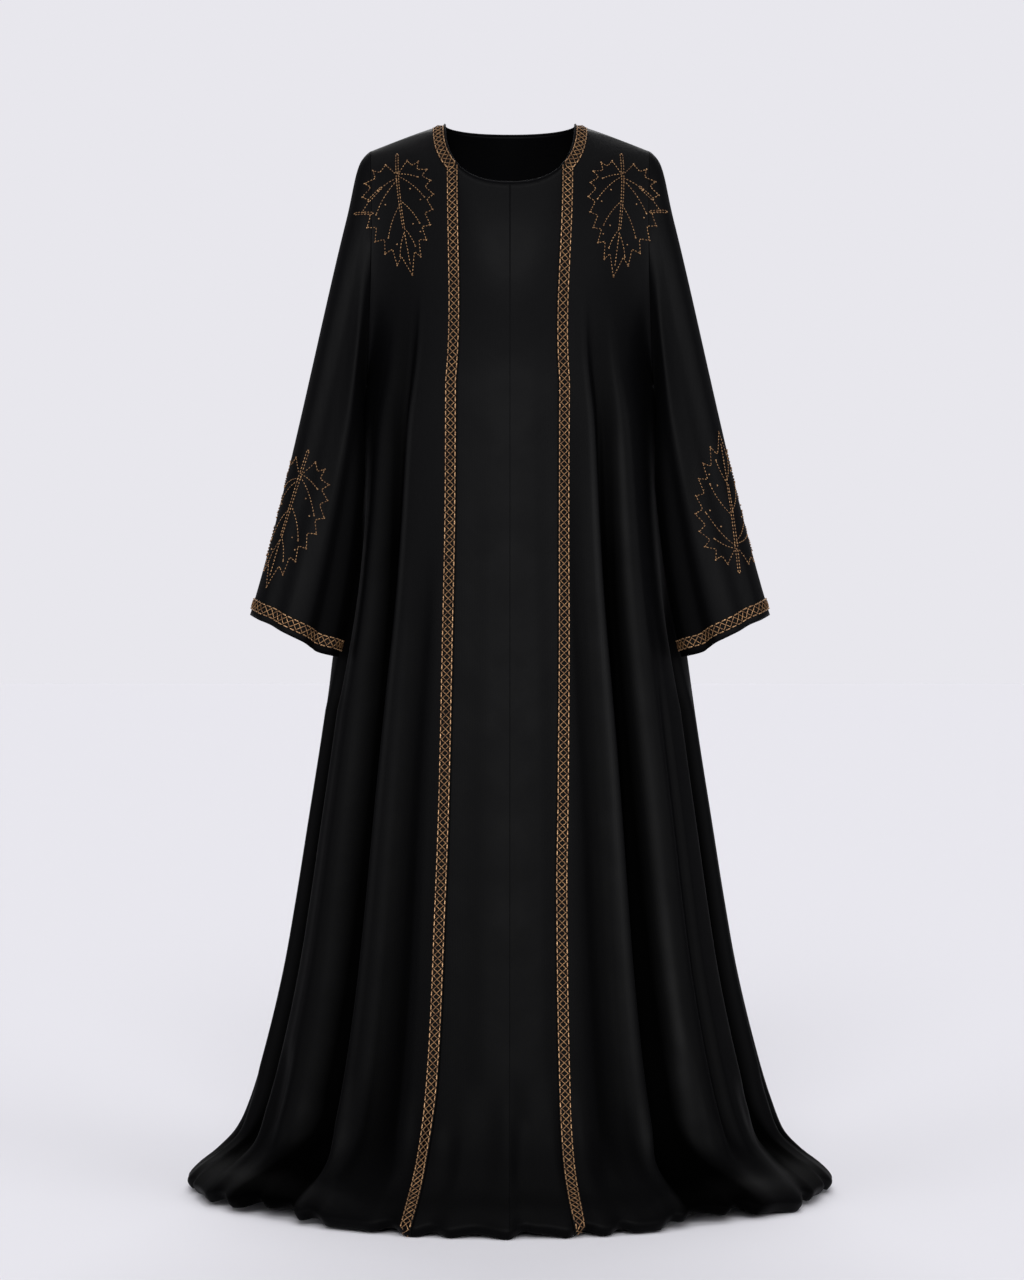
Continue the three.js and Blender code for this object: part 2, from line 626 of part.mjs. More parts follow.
// A closed tube through rings of points
function tube(rings) {
  const [count, sides] = [rings.length, rings[0].length];
  const index = [];
  for (let i = 0; i < count; i += 1)
    for (let k = 0; k < sides; k += 1) {
      const [a, b] = [i * sides + k, ((i + 1) % count) * sides + k];
      const [c, d] = [((i + 1) % count) * sides + ((k + 1) % sides), i * sides + ((k + 1) % sides)];
      index.push(a, c, b, a, d, c);
    }
  const geometry = new THREE.BufferGeometry();
  const positions = rings.flat().flatMap((p) => [p.x, p.y, p.z]);
  geometry.setAttribute("position", new THREE.Float32BufferAttribute(positions, 3));
  geometry.setIndex(index);
  geometry.computeVertexNormals();
  return geometry;
}

add("neck_binding", neckBinding(), black);

export default abaya;
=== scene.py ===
import math

import bpy
import numpy as np
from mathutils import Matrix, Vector
from mathutils.bvhtree import BVHTree
from numpy.linalg import norm


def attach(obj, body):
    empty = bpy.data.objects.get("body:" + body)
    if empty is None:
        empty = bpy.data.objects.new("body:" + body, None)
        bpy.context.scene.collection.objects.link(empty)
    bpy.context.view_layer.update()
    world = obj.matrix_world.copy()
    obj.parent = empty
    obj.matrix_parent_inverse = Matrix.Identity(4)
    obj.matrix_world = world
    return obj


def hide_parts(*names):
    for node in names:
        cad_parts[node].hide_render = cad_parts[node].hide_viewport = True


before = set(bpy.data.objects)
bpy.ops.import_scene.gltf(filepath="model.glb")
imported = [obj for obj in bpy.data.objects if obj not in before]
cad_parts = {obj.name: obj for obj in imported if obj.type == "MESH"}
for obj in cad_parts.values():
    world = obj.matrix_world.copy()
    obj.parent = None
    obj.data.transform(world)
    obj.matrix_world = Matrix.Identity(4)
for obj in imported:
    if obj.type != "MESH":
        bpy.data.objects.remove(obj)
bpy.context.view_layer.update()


# Studio: a pale floor under a pale backdrop, one large soft light above the camera, weaker ones
# at both sides, overhead and behind, so that the folds read from every side. The camera stands level,
# 5.1 m in front of the garment and 0.75 m above the floor.
def srgb(code):
    parts = [int(code[i : i + 2], 16) / 255 for i in (1, 3, 5)]
    linear = [c / 12.92 if c <= 0.04045 else ((c + 0.055) / 1.055) ** 2.4 for c in parts]
    return (*linear, 1.0)


def node(tree, kind, inputs=None, **settings):
    """Adds a shader node, with its settings and a value or a link for each named input."""
    made = tree.nodes.new("ShaderNode" + kind)
    for key, value in settings.items():
        setattr(made, key, value)
    for key, value in (inputs or {}).items():
        if isinstance(value, bpy.types.NodeSocket):
            tree.links.new(value, made.inputs[key])
        else:
            made.inputs[key].default_value = value
    return made


def linked(name, data):
    made = bpy.data.objects.new(name, data)
    bpy.context.scene.collection.objects.link(made)
    return made


def shaded(name, values):
    """Adds a material and sets the named values of its shader."""
    made = bpy.data.materials.new(name)
    made.use_nodes = True
    look = made.node_tree.nodes["Principled BSDF"]
    for key, value in values.items():
        look.inputs[key].default_value = value
    return made, made.node_tree, look


FLOOR = -1.430

camera_data = bpy.data.cameras.new("camera")
camera_data.lens = 105.3
camera_data.sensor_width = 36
camera = linked("camera", camera_data)
camera.location = (0.0027, -5.1, -0.681)
camera.rotation_euler = (math.radians(90), 0, 0)
bpy.context.scene.camera = camera
bpy.context.scene.view_settings.view_transform = "Standard"


def soft_sun(name, come_from, strength, spread):
    """A wide, far light, which lights the floor evenly up to the backdrop."""
    data = bpy.data.lights.new(name, "SUN")
    data.energy = strength
    data.angle = math.radians(spread)
    light = linked(name, data)
    light.rotation_euler = Vector(come_from).to_track_quat("Z", "Y").to_euler()


soft_sun("key_light", (-0.02, -1.0, 0.46), 2.2, 28)
soft_sun("top_light", (0.0, -0.1, 1.0), 0.9, 50)
soft_sun("left_light", (-0.9, -0.8, 0.3), 0.6, 40)
soft_sun("right_light", (0.9, -0.8, 0.3), 0.9, 40)
soft_sun("back_light", (0.0, 1.0, 0.7), 1.1, 40)

world = bpy.data.worlds.new("studio")
world.use_nodes = True
studio = world.node_tree
studio.nodes.clear()
seen = node(studio, "Background", {"Color": srgb("#e8e7ed"), "Strength": 1.0})
fill = node(studio, "Background", {"Color": srgb("#e6e5ea"), "Strength": 0.2})
path = node(studio, "LightPath")
mixing = {0: path.outputs["Is Camera Ray"], 1: fill.outputs[0], 2: seen.outputs[0]}
mixed = node(studio, "MixShader", mixing)
node(studio, "OutputWorld", {"Surface": mixed.outputs[0]})
bpy.context.scene.world = world

bpy.ops.object.select_all(action="DESELECT")
bpy.ops.mesh.primitive_circle_add(vertices=96, radius=60, fill_type="NGON", location=(0, 0, FLOOR))
floor = bpy.context.object
floor.name = "studio_floor"
matt = {"Base Color": srgb("#e3e2e8"), "Roughness": 1.0, "Specular IOR Level": 0.0}
floor.data.materials.append(shaded("matt studio paint", matt)[0])


# Centre front: two halves of black crepe, joined down the middle, between the neckline and the
# hem. All the body's panels hang on one form, given here: its outline from the underarm to the
# floor, and the valleys between its hanging folds. Tables are in millimetres above the floor and
# in degrees from the centre front, positive to the wearer's left.
SIDES = ((-1, "right"), (1, "left"))


def table(names, *rows):
    return {name: np.array([row[i] for row in rows], float) for i, name in enumerate(names.split())}


SHOULDER_HEIGHT = 1430
CLOTH = 1.0
BODY_Y = 6
NECK_HALF = 90
NECK_TOP = 1451
NECK_FRONT_DROP = 90
NECK_BACK_DROP = 8
NECK_FRONT_REACH = 90
NECK_BACK_REACH = 58
NECK_ROUND = 2.4
SEAM_Y = 4
UNDERARM = 1095
SECTIONS = table(
    "height half front back round",
    (1095, 195, 129, 120, 2.0),
    (1050, 205, 133, 124, 2.0),
    (1000, 211, 137, 128, 2.0),
    (900, 220, 147, 138, 2.0),
    (800, 231, 159, 150, 2.0),
    (700, 246, 175, 166, 2.0),
    (600, 261, 193, 184, 2.0),
    (500, 277, 214, 205, 1.97),
    (400, 293, 238, 229, 1.93),
    (300, 311, 266, 257, 1.89),
    (200, 335, 300, 291, 1.84),
    (120, 359, 334, 326, 1.82),
    (80, 379, 358, 350, 1.8),
    (50, 410, 390, 378, 1.8),
    (32, 433, 420, 408, 1.82),
    (16, 447, 438, 424, 1.85),
    (0, 450, 444, 430, 1.85),
)
VALLEYS = table(
    "angle before after depth top",
    (-168, 10, 9, 40, 1120),
    (-150, 9, 8, 52, 1180),
    (-134, 8, 8, 46, 1000),
    (-118, 8, 7, 50, 1090),
    (-104, 7, 6, 36, 800),
    (-89, 7, 7, 30, 760),
    (-74, 8, 8, 40, 1010),
    (-46.5, 14, 5.5, 62, 1260),
    (-43.8, 4.5, 2.4, 30, 1250),
    (-30.5, 9, 7, 20, 960),
    (-6.5, 6, 6, 9, 200),
    (6, 6, 6, 9, 220),
    (25, 7.5, 7.7, 15, 1180),
    (38, 5.5, 13.5, 60, 1250),
    (35.4, 2.4, 4.5, 30, 1240),
    (54.6, 3.1, 3.1, 14, 820),
    (72.5, 8.5, 7.5, 42, 900),
    (87, 7, 7, 30, 760),
    (101, 7, 6, 38, 820),
    (114, 8, 8, 52, 1120),
    (131, 9, 8, 46, 990),
    (148, 9, 9, 54, 1190),
    (166, 9, 8, 42, 1060),
    # short ones where the hem meets the floor
    (-63, 4.5, 5, 14, 230),
    (-53, 3.5, 4, 12, 170),
    (-37.5, 3.5, 4, 13, 200),
    (-22, 4, 3.5, 12, 180),
    (-14.5, 3, 3.5, 9, 140),
    (2.5, 3, 3.5, 9, 150),
    (14, 3.5, 3.5, 12, 190),
    (20.5, 2.5, 3, 9, 130),
    (30.5, 3.5, 3, 12, 170),
    (46, 4, 3.5, 13, 240),
    (64, 4.5, 4, 12, 180),
    (79, 4, 4, 12, 190),
    (-81, 4, 4, 12, 180),
    # shallow ones inside the panels
    (-12, 7, 6, 1.6, 1150),
    (3, 5, 7, 1.2, 1000),
    (13, 5, 5, 1.6, 1250),
)
PRESSED = {"angle": 76, "before": 20, "after": 14, "depth": 13, "top": 1085, "foot": 660}
FOLD_START = 0.22
ARCH_SHARE = 0.6
ARCH_HEIGHT = 140
POOL_HEIGHT = 130
POOL_SHARE = 0.68
POOL_SPREAD = 0.8
SHORT_TOP = 300
HEM_ROLL = 9
HEM_ROLL_HEIGHT = 15
FRONT_SEAMS = table(
    "height right left",
    (1386, 70, 70),
    (1200, 71, 66),
    (916, 72, 64),
    (748, 75, 64),
    (538, 79, 62),
    (416, 83, 60),
    (180, 93, 63),
    (74, 108, 70),
    (0, 127, 84),
)
SKIRT_HEIGHTS = np.concatenate(
    [np.arange(UNDERARM - 9, 150, -9.0), np.linspace(150, 20, 22), np.linspace(16, 0, 8)]
)
CHEST_STEPS = 40
CENTRE_COLUMNS = 40
SEAM_EDGE = 0.008
NECK_PULL = 370
# Painted shade and painted highlight on the body's crepe: how deep a valley must be to be painted full
# black, how much darker the cloth is painted towards the floor, and where a highlight is painted along the
# sharp edges of overlapping folds.
SHADE_DEPTH = 24
SHADE_GAIN = 1.8
SHADE_TOP = 1330
SHADE_FADE = 150
LOW_SHADE = 0.42
LOW_SHADE_TOP = 1250
PAINTED_HIGHLIGHT_EDGES = [-63, -39.8, 31.2, 47]
PAINTED_HIGHLIGHT_HALF = 1.5
PAINTED_HIGHLIGHT_TOP = 1230
PAINTED_HIGHLIGHT_FADE = 300
PAINTED_HIGHLIGHT_FOOT = 250


def clamp01(t):
    return np.clip(t, 0, 1)


def smooth(t):
    t = clamp01(t)
    return t * t * (3 - 2 * t)


def power(base, exponent):
    return np.sign(base) * np.abs(base) ** exponent


def unit(v):
    return v / np.maximum(norm(v, axis=-1, keepdims=True), 1e-12)


def sine_cosine(angle):
    return np.sin(np.radians(angle)), np.cos(np.radians(angle))


def place(x, y, height):
    x, y, height = np.broadcast_arrays(x, y, height)
    return np.stack([x, y, height - SHOULDER_HEIGHT], -1).astype(float)


def run_along(points, axis=0):
    """The distance along rows of points, from the first of each."""
    steps = norm(np.diff(points, axis=axis), axis=-1)
    return np.concatenate([np.zeros_like(steps.take([0], axis)), np.cumsum(steps, axis)], axis)


def read_along(run, values, where):
    """Values of a line, read at distances along it."""
    return np.stack([np.interp(where, run, column) for column in values.T], -1)


def hermite(start, leave, end, arrive, t):
    t2, t3 = t * t, t * t * t
    first = (2 * t3 - 3 * t2 + 1) * start + (t3 - 2 * t2 + t) * leave
    return first + (3 * t2 - 2 * t3) * end + (t3 - t2) * arrive


def reading(rows, column, height):
    """A smooth reading of one column of a table whose heights fall from row to row."""
    heights, values = rows["height"], rows[column]
    last = len(heights) - 1
    before = np.maximum(np.arange(last + 1) - 1, 0)
    after = np.minimum(np.arange(last + 1) + 1, last)
    slopes = (values[after] - values[before]) / (heights[after] - heights[before])
    height = np.asarray(height, float)
    i = np.clip(np.searchsorted(-heights, -height, side="left") - 1, 0, last - 1)
    span = heights[i + 1] - heights[i]
    t = (height - heights[i]) / span
    inside = hermite(values[i], slopes[i] * span, values[i + 1], slopes[i + 1] * span, t)
    return np.where(height >= heights[0], values[0] + slopes[0] * (height - heights[0]), inside)


def bump(offset, before, after):
    t = np.abs(offset) / np.where(offset < 0, before, after)
    return np.where(t < 1, 0.5 + 0.5 * np.cos(np.pi * np.minimum(t, 1)), 0)


def turn(angle):
    return (angle + 180) % 360 - 180


def valleys(angle, height):
    """For each valley, its depth at a height and how near its bottom an angle lies, from 0 to 1."""
    pooled = smooth(1 - height / POOL_HEIGHT)
    for at, before, after, deep, top in zip(*VALLEYS.values()):
        share = clamp01((top - height) / top)
        spread = pooled * (top > SHORT_TOP)
        wide = 1 + POOL_SPREAD * spread
        near = bump(turn(angle - at), before * wide, after * wide)
        yield deep * (1 - POOL_SHARE * spread) * share**0.8 * smooth(share / FOLD_START), near


def fold_depth(angle, height):
    """How far the folds draw the cloth in at an angle and a height."""
    depth = np.zeros(np.broadcast(angle, height).shape)
    for deep, near in valleys(angle, height):
        depth = depth + deep * near
    down = clamp01((PRESSED["top"] - height) / (PRESSED["top"] - PRESSED["foot"]))
    pressed = bump(np.abs(angle) - PRESSED["angle"], PRESSED["before"], PRESSED["after"])
    return depth + PRESSED["depth"] * pressed * np.sin(np.pi * down) ** 0.6


def shade_of(grid):
    """The painted shade of each point of a body piece, from 0 on the open cloth to 1 deep in a fold,
    also painted darker towards the floor, and the painted highlight near the sharp edge of an
    overlapping fold, from 0 to 1."""
    height, ahead = grid[..., 2] + SHOULDER_HEIGHT, grid[..., 1] < BODY_Y
    rounding = reading(SECTIONS, "round", height) / 2
    depth = np.where(ahead, reading(SECTIONS, "front", height), reading(SECTIONS, "back", height))
    across = np.abs(grid[..., 0]) / reading(SECTIONS, "half", height)
    along = np.abs(grid[..., 1] - BODY_Y) / depth
    turned = np.degrees(np.arctan2(across**rounding, along**rounding))
    angle = np.sign(grid[..., 0]) * np.where(ahead, turned, 180 - turned)
    skirt = int(np.argmax(height[:, 0] < UNDERARM))
    angle[:skirt] = angle[skirt]
    # Painted shade: darker towards the floor, and darkest near the bottom of each valley.
    shade = LOW_SHADE * smooth(1 - height / LOW_SHADE_TOP)
    for deep, near in valleys(angle, height):
        shade = np.maximum(shade, clamp01(deep / SHADE_DEPTH) ** 0.8 * clamp01(SHADE_GAIN * near))
    # Painted highlight: a narrow band along each sharp fold edge, fading out at the top and towards the hem.
    edge = np.zeros(shade.shape)
    reach = smooth((PAINTED_HIGHLIGHT_TOP - height) / PAINTED_HIGHLIGHT_FADE) * smooth(height / PAINTED_HIGHLIGHT_FOOT)
    for at in PAINTED_HIGHLIGHT_EDGES:
        edge = np.maximum(edge, bump(turn(angle - at), PAINTED_HIGHLIGHT_HALF, PAINTED_HIGHLIGHT_HALF) * reach)
    return np.stack([shade * smooth((SHADE_TOP - height) / SHADE_FADE), edge], -1)


def form(angle, height):
    """The body's half width, depth and rounding at a height, and the shares of the first two at
    an angle."""
    half, rounding = reading(SECTIONS, "half", height), reading(SECTIONS, "round", height)
    sine, cosine = sine_cosine(angle)
    depth = np.where(cosine > 0, reading(SECTIONS, "front", height), reading(SECTIONS, "back", height))
    return half, depth, rounding, power(sine, 2 / rounding), -power(cosine, 2 / rounding)


def outward(angle, height):
    """The level direction in which the body's form faces."""
    half, depth, rounding, across, along = form(angle, height)
    x, y = power(across, rounding - 1) / half, power(along, rounding - 1) / depth
    x, y = np.broadcast_arrays(x, y)
    return unit(np.stack([x, y, np.zeros_like(x)], -1))


def body_point(angle, height, folded=True):
    """A point of the body below the yoke."""
    angle, height = np.broadcast_arrays(np.asarray(angle, float), np.asarray(height, float))
    half, depth, _, across, along = form(angle, height)
    arch = clamp01(1 - height / ARCH_HEIGHT) ** 1.5 * ARCH_SHARE * fold_depth(angle, 0.0)
    point = place(half * across, BODY_Y + depth * along, height + arch)
    if not folded:
        return point
    rolled = HEM_ROLL * clamp01(1 - height / HEM_ROLL_HEIGHT) ** 2
    return point - outward(angle, height) * (fold_depth(angle, height) + rolled)[..., None]


def angle_at(x, height):
    share = np.minimum(1, np.abs(x) / reading(SECTIONS, "half", height))
    return np.sign(x) * np.degrees(np.arcsin(share ** (reading(SECTIONS, "round", height) / 2)))


def seam_angle(side, height, beside=0):
    """The angle of a front seam, or of a line beside it, at a height."""
    start = reading(FRONT_SEAMS, "left" if side > 0 else "right", height)
    return angle_at(side * (start + beside), height)


def front_neck(side, turned):
    """The neckline's front half: 0 at the side neck point and 90 at the centre front."""
    sine, cosine = sine_cosine(turned)
    x = NECK_HALF * np.maximum(0, cosine) ** (2 / NECK_ROUND)
    drop = NECK_FRONT_DROP * sine ** (2 / NECK_ROUND)
    return place(side * x, SEAM_Y - NECK_FRONT_REACH * sine**0.6, NECK_TOP - drop)


SEAM_TURN = math.degrees(math.acos((FRONT_SEAMS["right"][0] / NECK_HALF) ** (NECK_ROUND / 2)))


def leave_neck(face, share):
    """The direction and pull with which the cloth leaves the neckline."""
    share = np.asarray(share, float)
    return np.stack([0 * share, -face * (0.5 + 0.3 * share), -0.86 + 0.3 * share], -1) * NECK_PULL


def yoke_point(top, leave, angle, t):
    """A line of the yoke, falling from its top to the body at the height of the underarm."""
    foot = body_point(angle, UNDERARM, folded=False)
    fall = body_point(angle, UNDERARM - 10, folded=False) - foot
    fall = fall * (norm(top - foot, axis=-1, keepdims=True) / 10)
    point = hermite(top, leave, foot, fall, np.asarray(t, float)[..., None])
    depth = fold_depth(angle, point[..., 2] + SHOULDER_HEIGHT)
    return point - outward(angle, UNDERARM) * depth[..., None]


def centre_grid(side):
    """Half of the centre front, from the middle to its seam."""
    shares = np.concatenate([[0, SEAM_EDGE], np.linspace(0, 1, CENTRE_COLUMNS)[1:-1], [1]])
    t = np.linspace(0, 1, CHEST_STEPS + 1)[:, None]
    top = front_neck(side, 90 + (SEAM_TURN - 90) * shares)
    chest = yoke_point(top, leave_neck(1, 0), shares * seam_angle(side, UNDERARM), t)
    heights = SKIRT_HEIGHTS[:, None]
    return np.concatenate([chest, body_point(shares * seam_angle(side, heights), heights)])


def grid_normals(grid, closed, flip):
    if closed:
        wide = np.concatenate([grid[:, -1:], grid, grid[:, :1]], 1)
        across = (wide[:, 2:] - wide[:, :-2]) / 2
    else:
        across = np.gradient(grid, axis=1)
    normal = np.cross(np.gradient(grid, axis=0), across)
    return unit(-normal if flip else normal)


EDGES = {
    "top": (np.s_[0], np.s_[1]),
    "first": (np.s_[:, 0], np.s_[:, 1]),
    "last": (np.s_[:, -1], np.s_[:, -2]),
}


def tucked(grid, flip, edges):
    """Draws the named edges of a piece back along the cloth and into it, as at a seam."""
    normal = grid_normals(grid, False, flip)
    made = grid.copy()
    for edge, (gap, tuck) in edges.items():
        here, beside = EDGES[edge]
        if edge == "top":
            gap = gap * (np.abs(grid[0, :, 0]) >= NECK_HALF)[:, None]
        made[here] += unit(grid[beside] - grid[here]) * gap - normal[here] * tuck
    return made


GRAIN = 0.0011
CRUMPLE = 0.06


def crepe_material():
    """Black polyester crepe, piece dyed, with twisted yarns. It gives the eye a matt black whose
    faces turned to the light lift to charcoal, over a fine pebbled grain. The yarns lie 0.3 mm apart,
    too fine to show, so the grain is drawn at 1.1 mm. The second UV map holds painted shade, by which
    the folds are painted down to full black and lose their specular and sheen, and a painted
    highlight, by which the specular is turned up near a fold's sharp edge."""
    sheen = {"Sheen Roughness": 0.4, "Sheen Tint": srgb("#9a9aa0")}
    made, tree, look = shaded("black crepe", sheen)
    uv = node(tree, "UVMap", uv_map="cloth").outputs["UV"]
    pebbles = {"Vector": uv, "Scale": 1 / GRAIN, "Detail": 2.0, "Roughness": 0.6}
    grain = node(tree, "TexNoise", pebbles).outputs["Fac"]
    yarn = {"Vector": uv, "Scale": 1 / GRAIN / 6.2832, "Distortion": 2.2, "Detail": 2.0, "Detail Scale": 0.4}
    warp, weft = (node(tree, "TexWave", yarn, bands_direction=way).outputs["Fac"] for way in "XY")
    weave = node(tree, "Math", {0: warp, 1: weft}, operation="MULTIPLY").outputs[0]
    relief = node(tree, "Math", {0: grain, 1: weave}, operation="ADD").outputs[0]
    half = node(tree, "Math", {0: relief, 1: 0.5}, operation="MULTIPLY").outputs[0]
    tone = node(tree, "ValToRGB", {"Fac": half})
    tone.color_ramp.elements[0].color = srgb("#030304")
    tone.color_ramp.elements[1].color = srgb("#0a0a0b")
    crumple = {"Vector": uv, "Scale": 1 / CRUMPLE, "Detail": 3.0, "Roughness": 0.45}
    drape = node(tree, "TexNoise", crumple).outputs["Fac"]
    spread = {"Value": drape, "From Min": 0.3, "From Max": 0.7, "To Min": 0.46, "To Max": 0.54}
    rough = node(tree, "MapRange", spread)
    creased = node(tree, "Bump", {"Height": drape, "Strength": 0.16, "Distance": 0.004})
    raised = {"Height": relief, "Strength": 0.22, "Distance": 0.0003, "Normal": creased.outputs["Normal"]}
    grained = node(tree, "Bump", raised)
    # Painted shade and painted highlight: the second UV map darkens the colour to near black and turns the
    # specular and sheen down deep in the folds, and turns the specular up along sharp fold edges.
    painted_shading_uv = node(tree, "UVMap", uv_map="fold").outputs["UV"]
    fold, edge = node(tree, "SeparateXYZ", {"Vector": painted_shading_uv}).outputs[:2]
    painted_shade_mix = {0: fold, 6: tone.outputs["Color"], 7: srgb("#010101")}
    deep = node(tree, "Mix", painted_shade_mix, data_type="RGBA")
    painted_edge_highlight = node(tree, "MapRange", {"Value": edge, "To Min": 0.05, "To Max": 0.11})
    painted_shading_specular = node(tree, "MapRange", {"Value": fold, "To Min": painted_edge_highlight.outputs["Result"], "To Max": 0.002})
    painted_shade_sheen = node(tree, "MapRange", {"Value": fold, "To Min": 0.008, "To Max": 0.0003})
    tree.links.new(deep.outputs[2], look.inputs["Base Color"])
    tree.links.new(rough.outputs["Result"], look.inputs["Roughness"])
    tree.links.new(grained.outputs["Normal"], look.inputs["Normal"])
    tree.links.new(painted_shading_specular.outputs["Result"], look.inputs["Specular IOR Level"])
    tree.links.new(painted_shade_sheen.outputs["Result"], look.inputs["Sheen Weight"])
    return made


crepe = crepe_material()


def corners(values, closed):
    """What a grid holds at the four corners of each of its faces."""
    wide = np.concatenate([values, values[:, :1]], 1) if closed else values
    four = np.stack([wide[:-1, :-1], wide[1:, :-1], wide[1:, 1:], wide[:-1, 1:]], 2)
    return four.reshape(-1, *four.shape[2:])


def cut_cloth(name, grid, closed, flip, material=crepe, thick=CLOTH, shade=None):
    """Makes a grid of points in millimetres a piece of cloth with its thickness and its weave."""
    rows, columns = grid.shape[:2]
    wide = np.concatenate([grid, grid[:, :1]], 1) if closed else grid
    shade = np.zeros((rows, columns, 2)) if shade is None else shade
    quads = corners(np.arange(rows * columns).reshape(rows, columns), closed)
    measure = corners(np.stack([run_along(wide, 1), run_along(wide)], -1) / 1000, False)
    order = -1 if flip else 1
    mesh = bpy.data.meshes.new(name)
    mesh.from_pydata((grid.reshape(-1, 3) / 1000).tolist(), [], quads[:, ::order].tolist())
    # The second UV map carries the painted shade and painted highlight that the crepe reads.
    for key, values in (("cloth", measure), ("fold", corners(shade, closed))):
        layer = mesh.uv_layers.new(name=key)
        layer.data.foreach_set("uv", values[:, ::order].reshape(-1).astype(np.float32))
    mesh.materials.append(material)
    piece = linked(name, mesh)
    bpy.ops.object.select_all(action="DESELECT")
    piece.select_set(True)
    bpy.context.view_layer.objects.active = piece
    wall = piece.modifiers.new("cloth", "SOLIDIFY")
    wall.thickness = thick / 1000
    wall.offset = -1
    bpy.ops.object.modifier_apply(modifier="cloth")
    bpy.ops.object.shade_smooth()
    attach(piece, "root")
    return piece


front_centre = {}
for side, name in SIDES:
    grid = tucked(centre_grid(side), side < 0, {"first": (0.03, 0.05), "last": (0.05, 0.1)})
    front_centre[side] = grid
    piece = cut_cloth(f"front_centre_{name}_cloth", grid, False, side < 0, shade=shade_of(grid))
    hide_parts("front_centre_" + name)


# Side fronts: one piece of black crepe at each side, from the shoulder seam over the chest and
# down to the hem, with the armhole cut out of its outer edge. It is joined to the centre front,
# and the braid covers that seam's side of it.
BRAID_WIDTH = 15
TIP_HALF = 190
TIP_DROP = 36
ARMHOLE_TOP = NECK_TOP - TIP_DROP
ARMHOLE_REACH = 60
ARMHOLE_IN = 5
BRAID_SHARE = BRAID_WIDTH / (TIP_HALF - NECK_HALF)
BRAID_STEPS = 6
SIDE_COLUMNS = 158
SHOULDER_PULL = 430
EVEN_HEIGHT = 330.0
DRIFT_SPAN = 14
NECKLINE_ROWS = 3
YOKE_SHARES = [0, 0.07, 0.15, 0.24, 0.34, 0.45, 0.56, 0.67, 0.78, 0.89, 1]
YOKE_ROWS = np.concatenate(
    [np.linspace(0, NECKLINE_ROWS, 21)[:-1], np.linspace(NECKLINE_ROWS, 10, CHEST_STEPS + 1)]
)


def shoulder_seam(side, share):
    share = np.asarray(share, float)
    x = NECK_HALF + (TIP_HALF - NECK_HALF) * share
    return place(side * x, SEAM_Y, NECK_TOP - TIP_DROP * share**1.15)


def armhole(side, turned):
    """The armhole: 0 at the shoulder tip, 90 at the front, 180 at the underarm, 270 at the back."""
    sine, cosine = sine_cosine(turned)
    share = (1 - cosine) / 2
    underarm = body_point(90, UNDERARM, folded=False)
    x = TIP_HALF + (underarm[0] - TIP_HALF) * share - ARMHOLE_IN * sine * sine
    y = SEAM_Y + (underarm[1] - SEAM_Y) * share - ARMHOLE_REACH * sine
    return place(side * x, y, ARMHOLE_TOP + (UNDERARM - ARMHOLE_TOP) * share)


def leave_shoulder(side, face, share):
    share = np.asarray(share, float)
    way = np.stack([side * 0.1 * (1 - share), -face * (0.86 - 0.1 * share), -0.5 + 0 * share], -1)
    return way * (SHOULDER_PULL - 60 * share)[..., None]


def front_edge(side, row):
    """The front edge of a side front, round the neckline and down the chest."""
    neck = front_neck(side, SEAM_TURN * np.minimum(row, NECKLINE_ROWS) / NECKLINE_ROWS)
    t = clamp01((row - NECKLINE_ROWS) / (10 - NECKLINE_ROWS))
    chest = yoke_point(front_neck(side, SEAM_TURN), leave_neck(1, 0), seam_angle(side, UNDERARM), t)
    return np.where(row[:, None] <= NECKLINE_ROWS, neck, chest)


def braid_edge(side, row):
    """The line where the braid ends on the side front."""
    ends = front_edge(side, np.array([0.0, 10.0]))
    top = shoulder_seam(side, BRAID_SHARE) - ends[0]
    foot = body_point(seam_angle(side, UNDERARM, BRAID_WIDTH), UNDERARM) - ends[1]
    blend = clamp01(row / (NECKLINE_ROWS + 1))[:, None]
    across = unit(unit(top) * (1 - blend) + unit(foot) * blend)
    widths = [norm(top), BRAID_WIDTH, BRAID_WIDTH, norm(foot)]
    return front_edge(side, row) + across * np.interp(row, [0, 1, 9, 10], widths)[:, None]


def even_angles(first, last, count):
    """Angles at even steps along the folded cloth, part way up the skirt."""
    fine = np.linspace(first, last, 4000)
    run = run_along(body_point(fine, EVEN_HEIGHT))
    return np.interp(np.linspace(0, run[-1], count), run, fine)


def yoke_sheet(side, face, angles, shares, rows):
    """The yoke's columns from the shoulder seam, the last of them led along the armhole."""
    t = np.interp(rows, range(11), YOKE_SHARES)
    top, leave = shoulder_seam(side, shares), leave_shoulder(side, face, shares)
    plain = yoke_point(top, leave, side * angles, t[:, None])
    lead = armhole(side, 180 * t if face > 0 else 360 - 180 * t) - plain[:, -1]
    return plain + lead[:, None] * (clamp01(1 - (1 - shares) / 0.6) ** 2)[None, :, None]


def side_shares(angles, edge):
    beside = BRAID_SHARE * (angles - angles[0]) / (edge - angles[0])
    beyond = BRAID_SHARE + (1 - BRAID_SHARE) * clamp01((angles - edge) / (90 - edge)) ** 1.2
    return np.where(angles <= edge, beside, beyond)


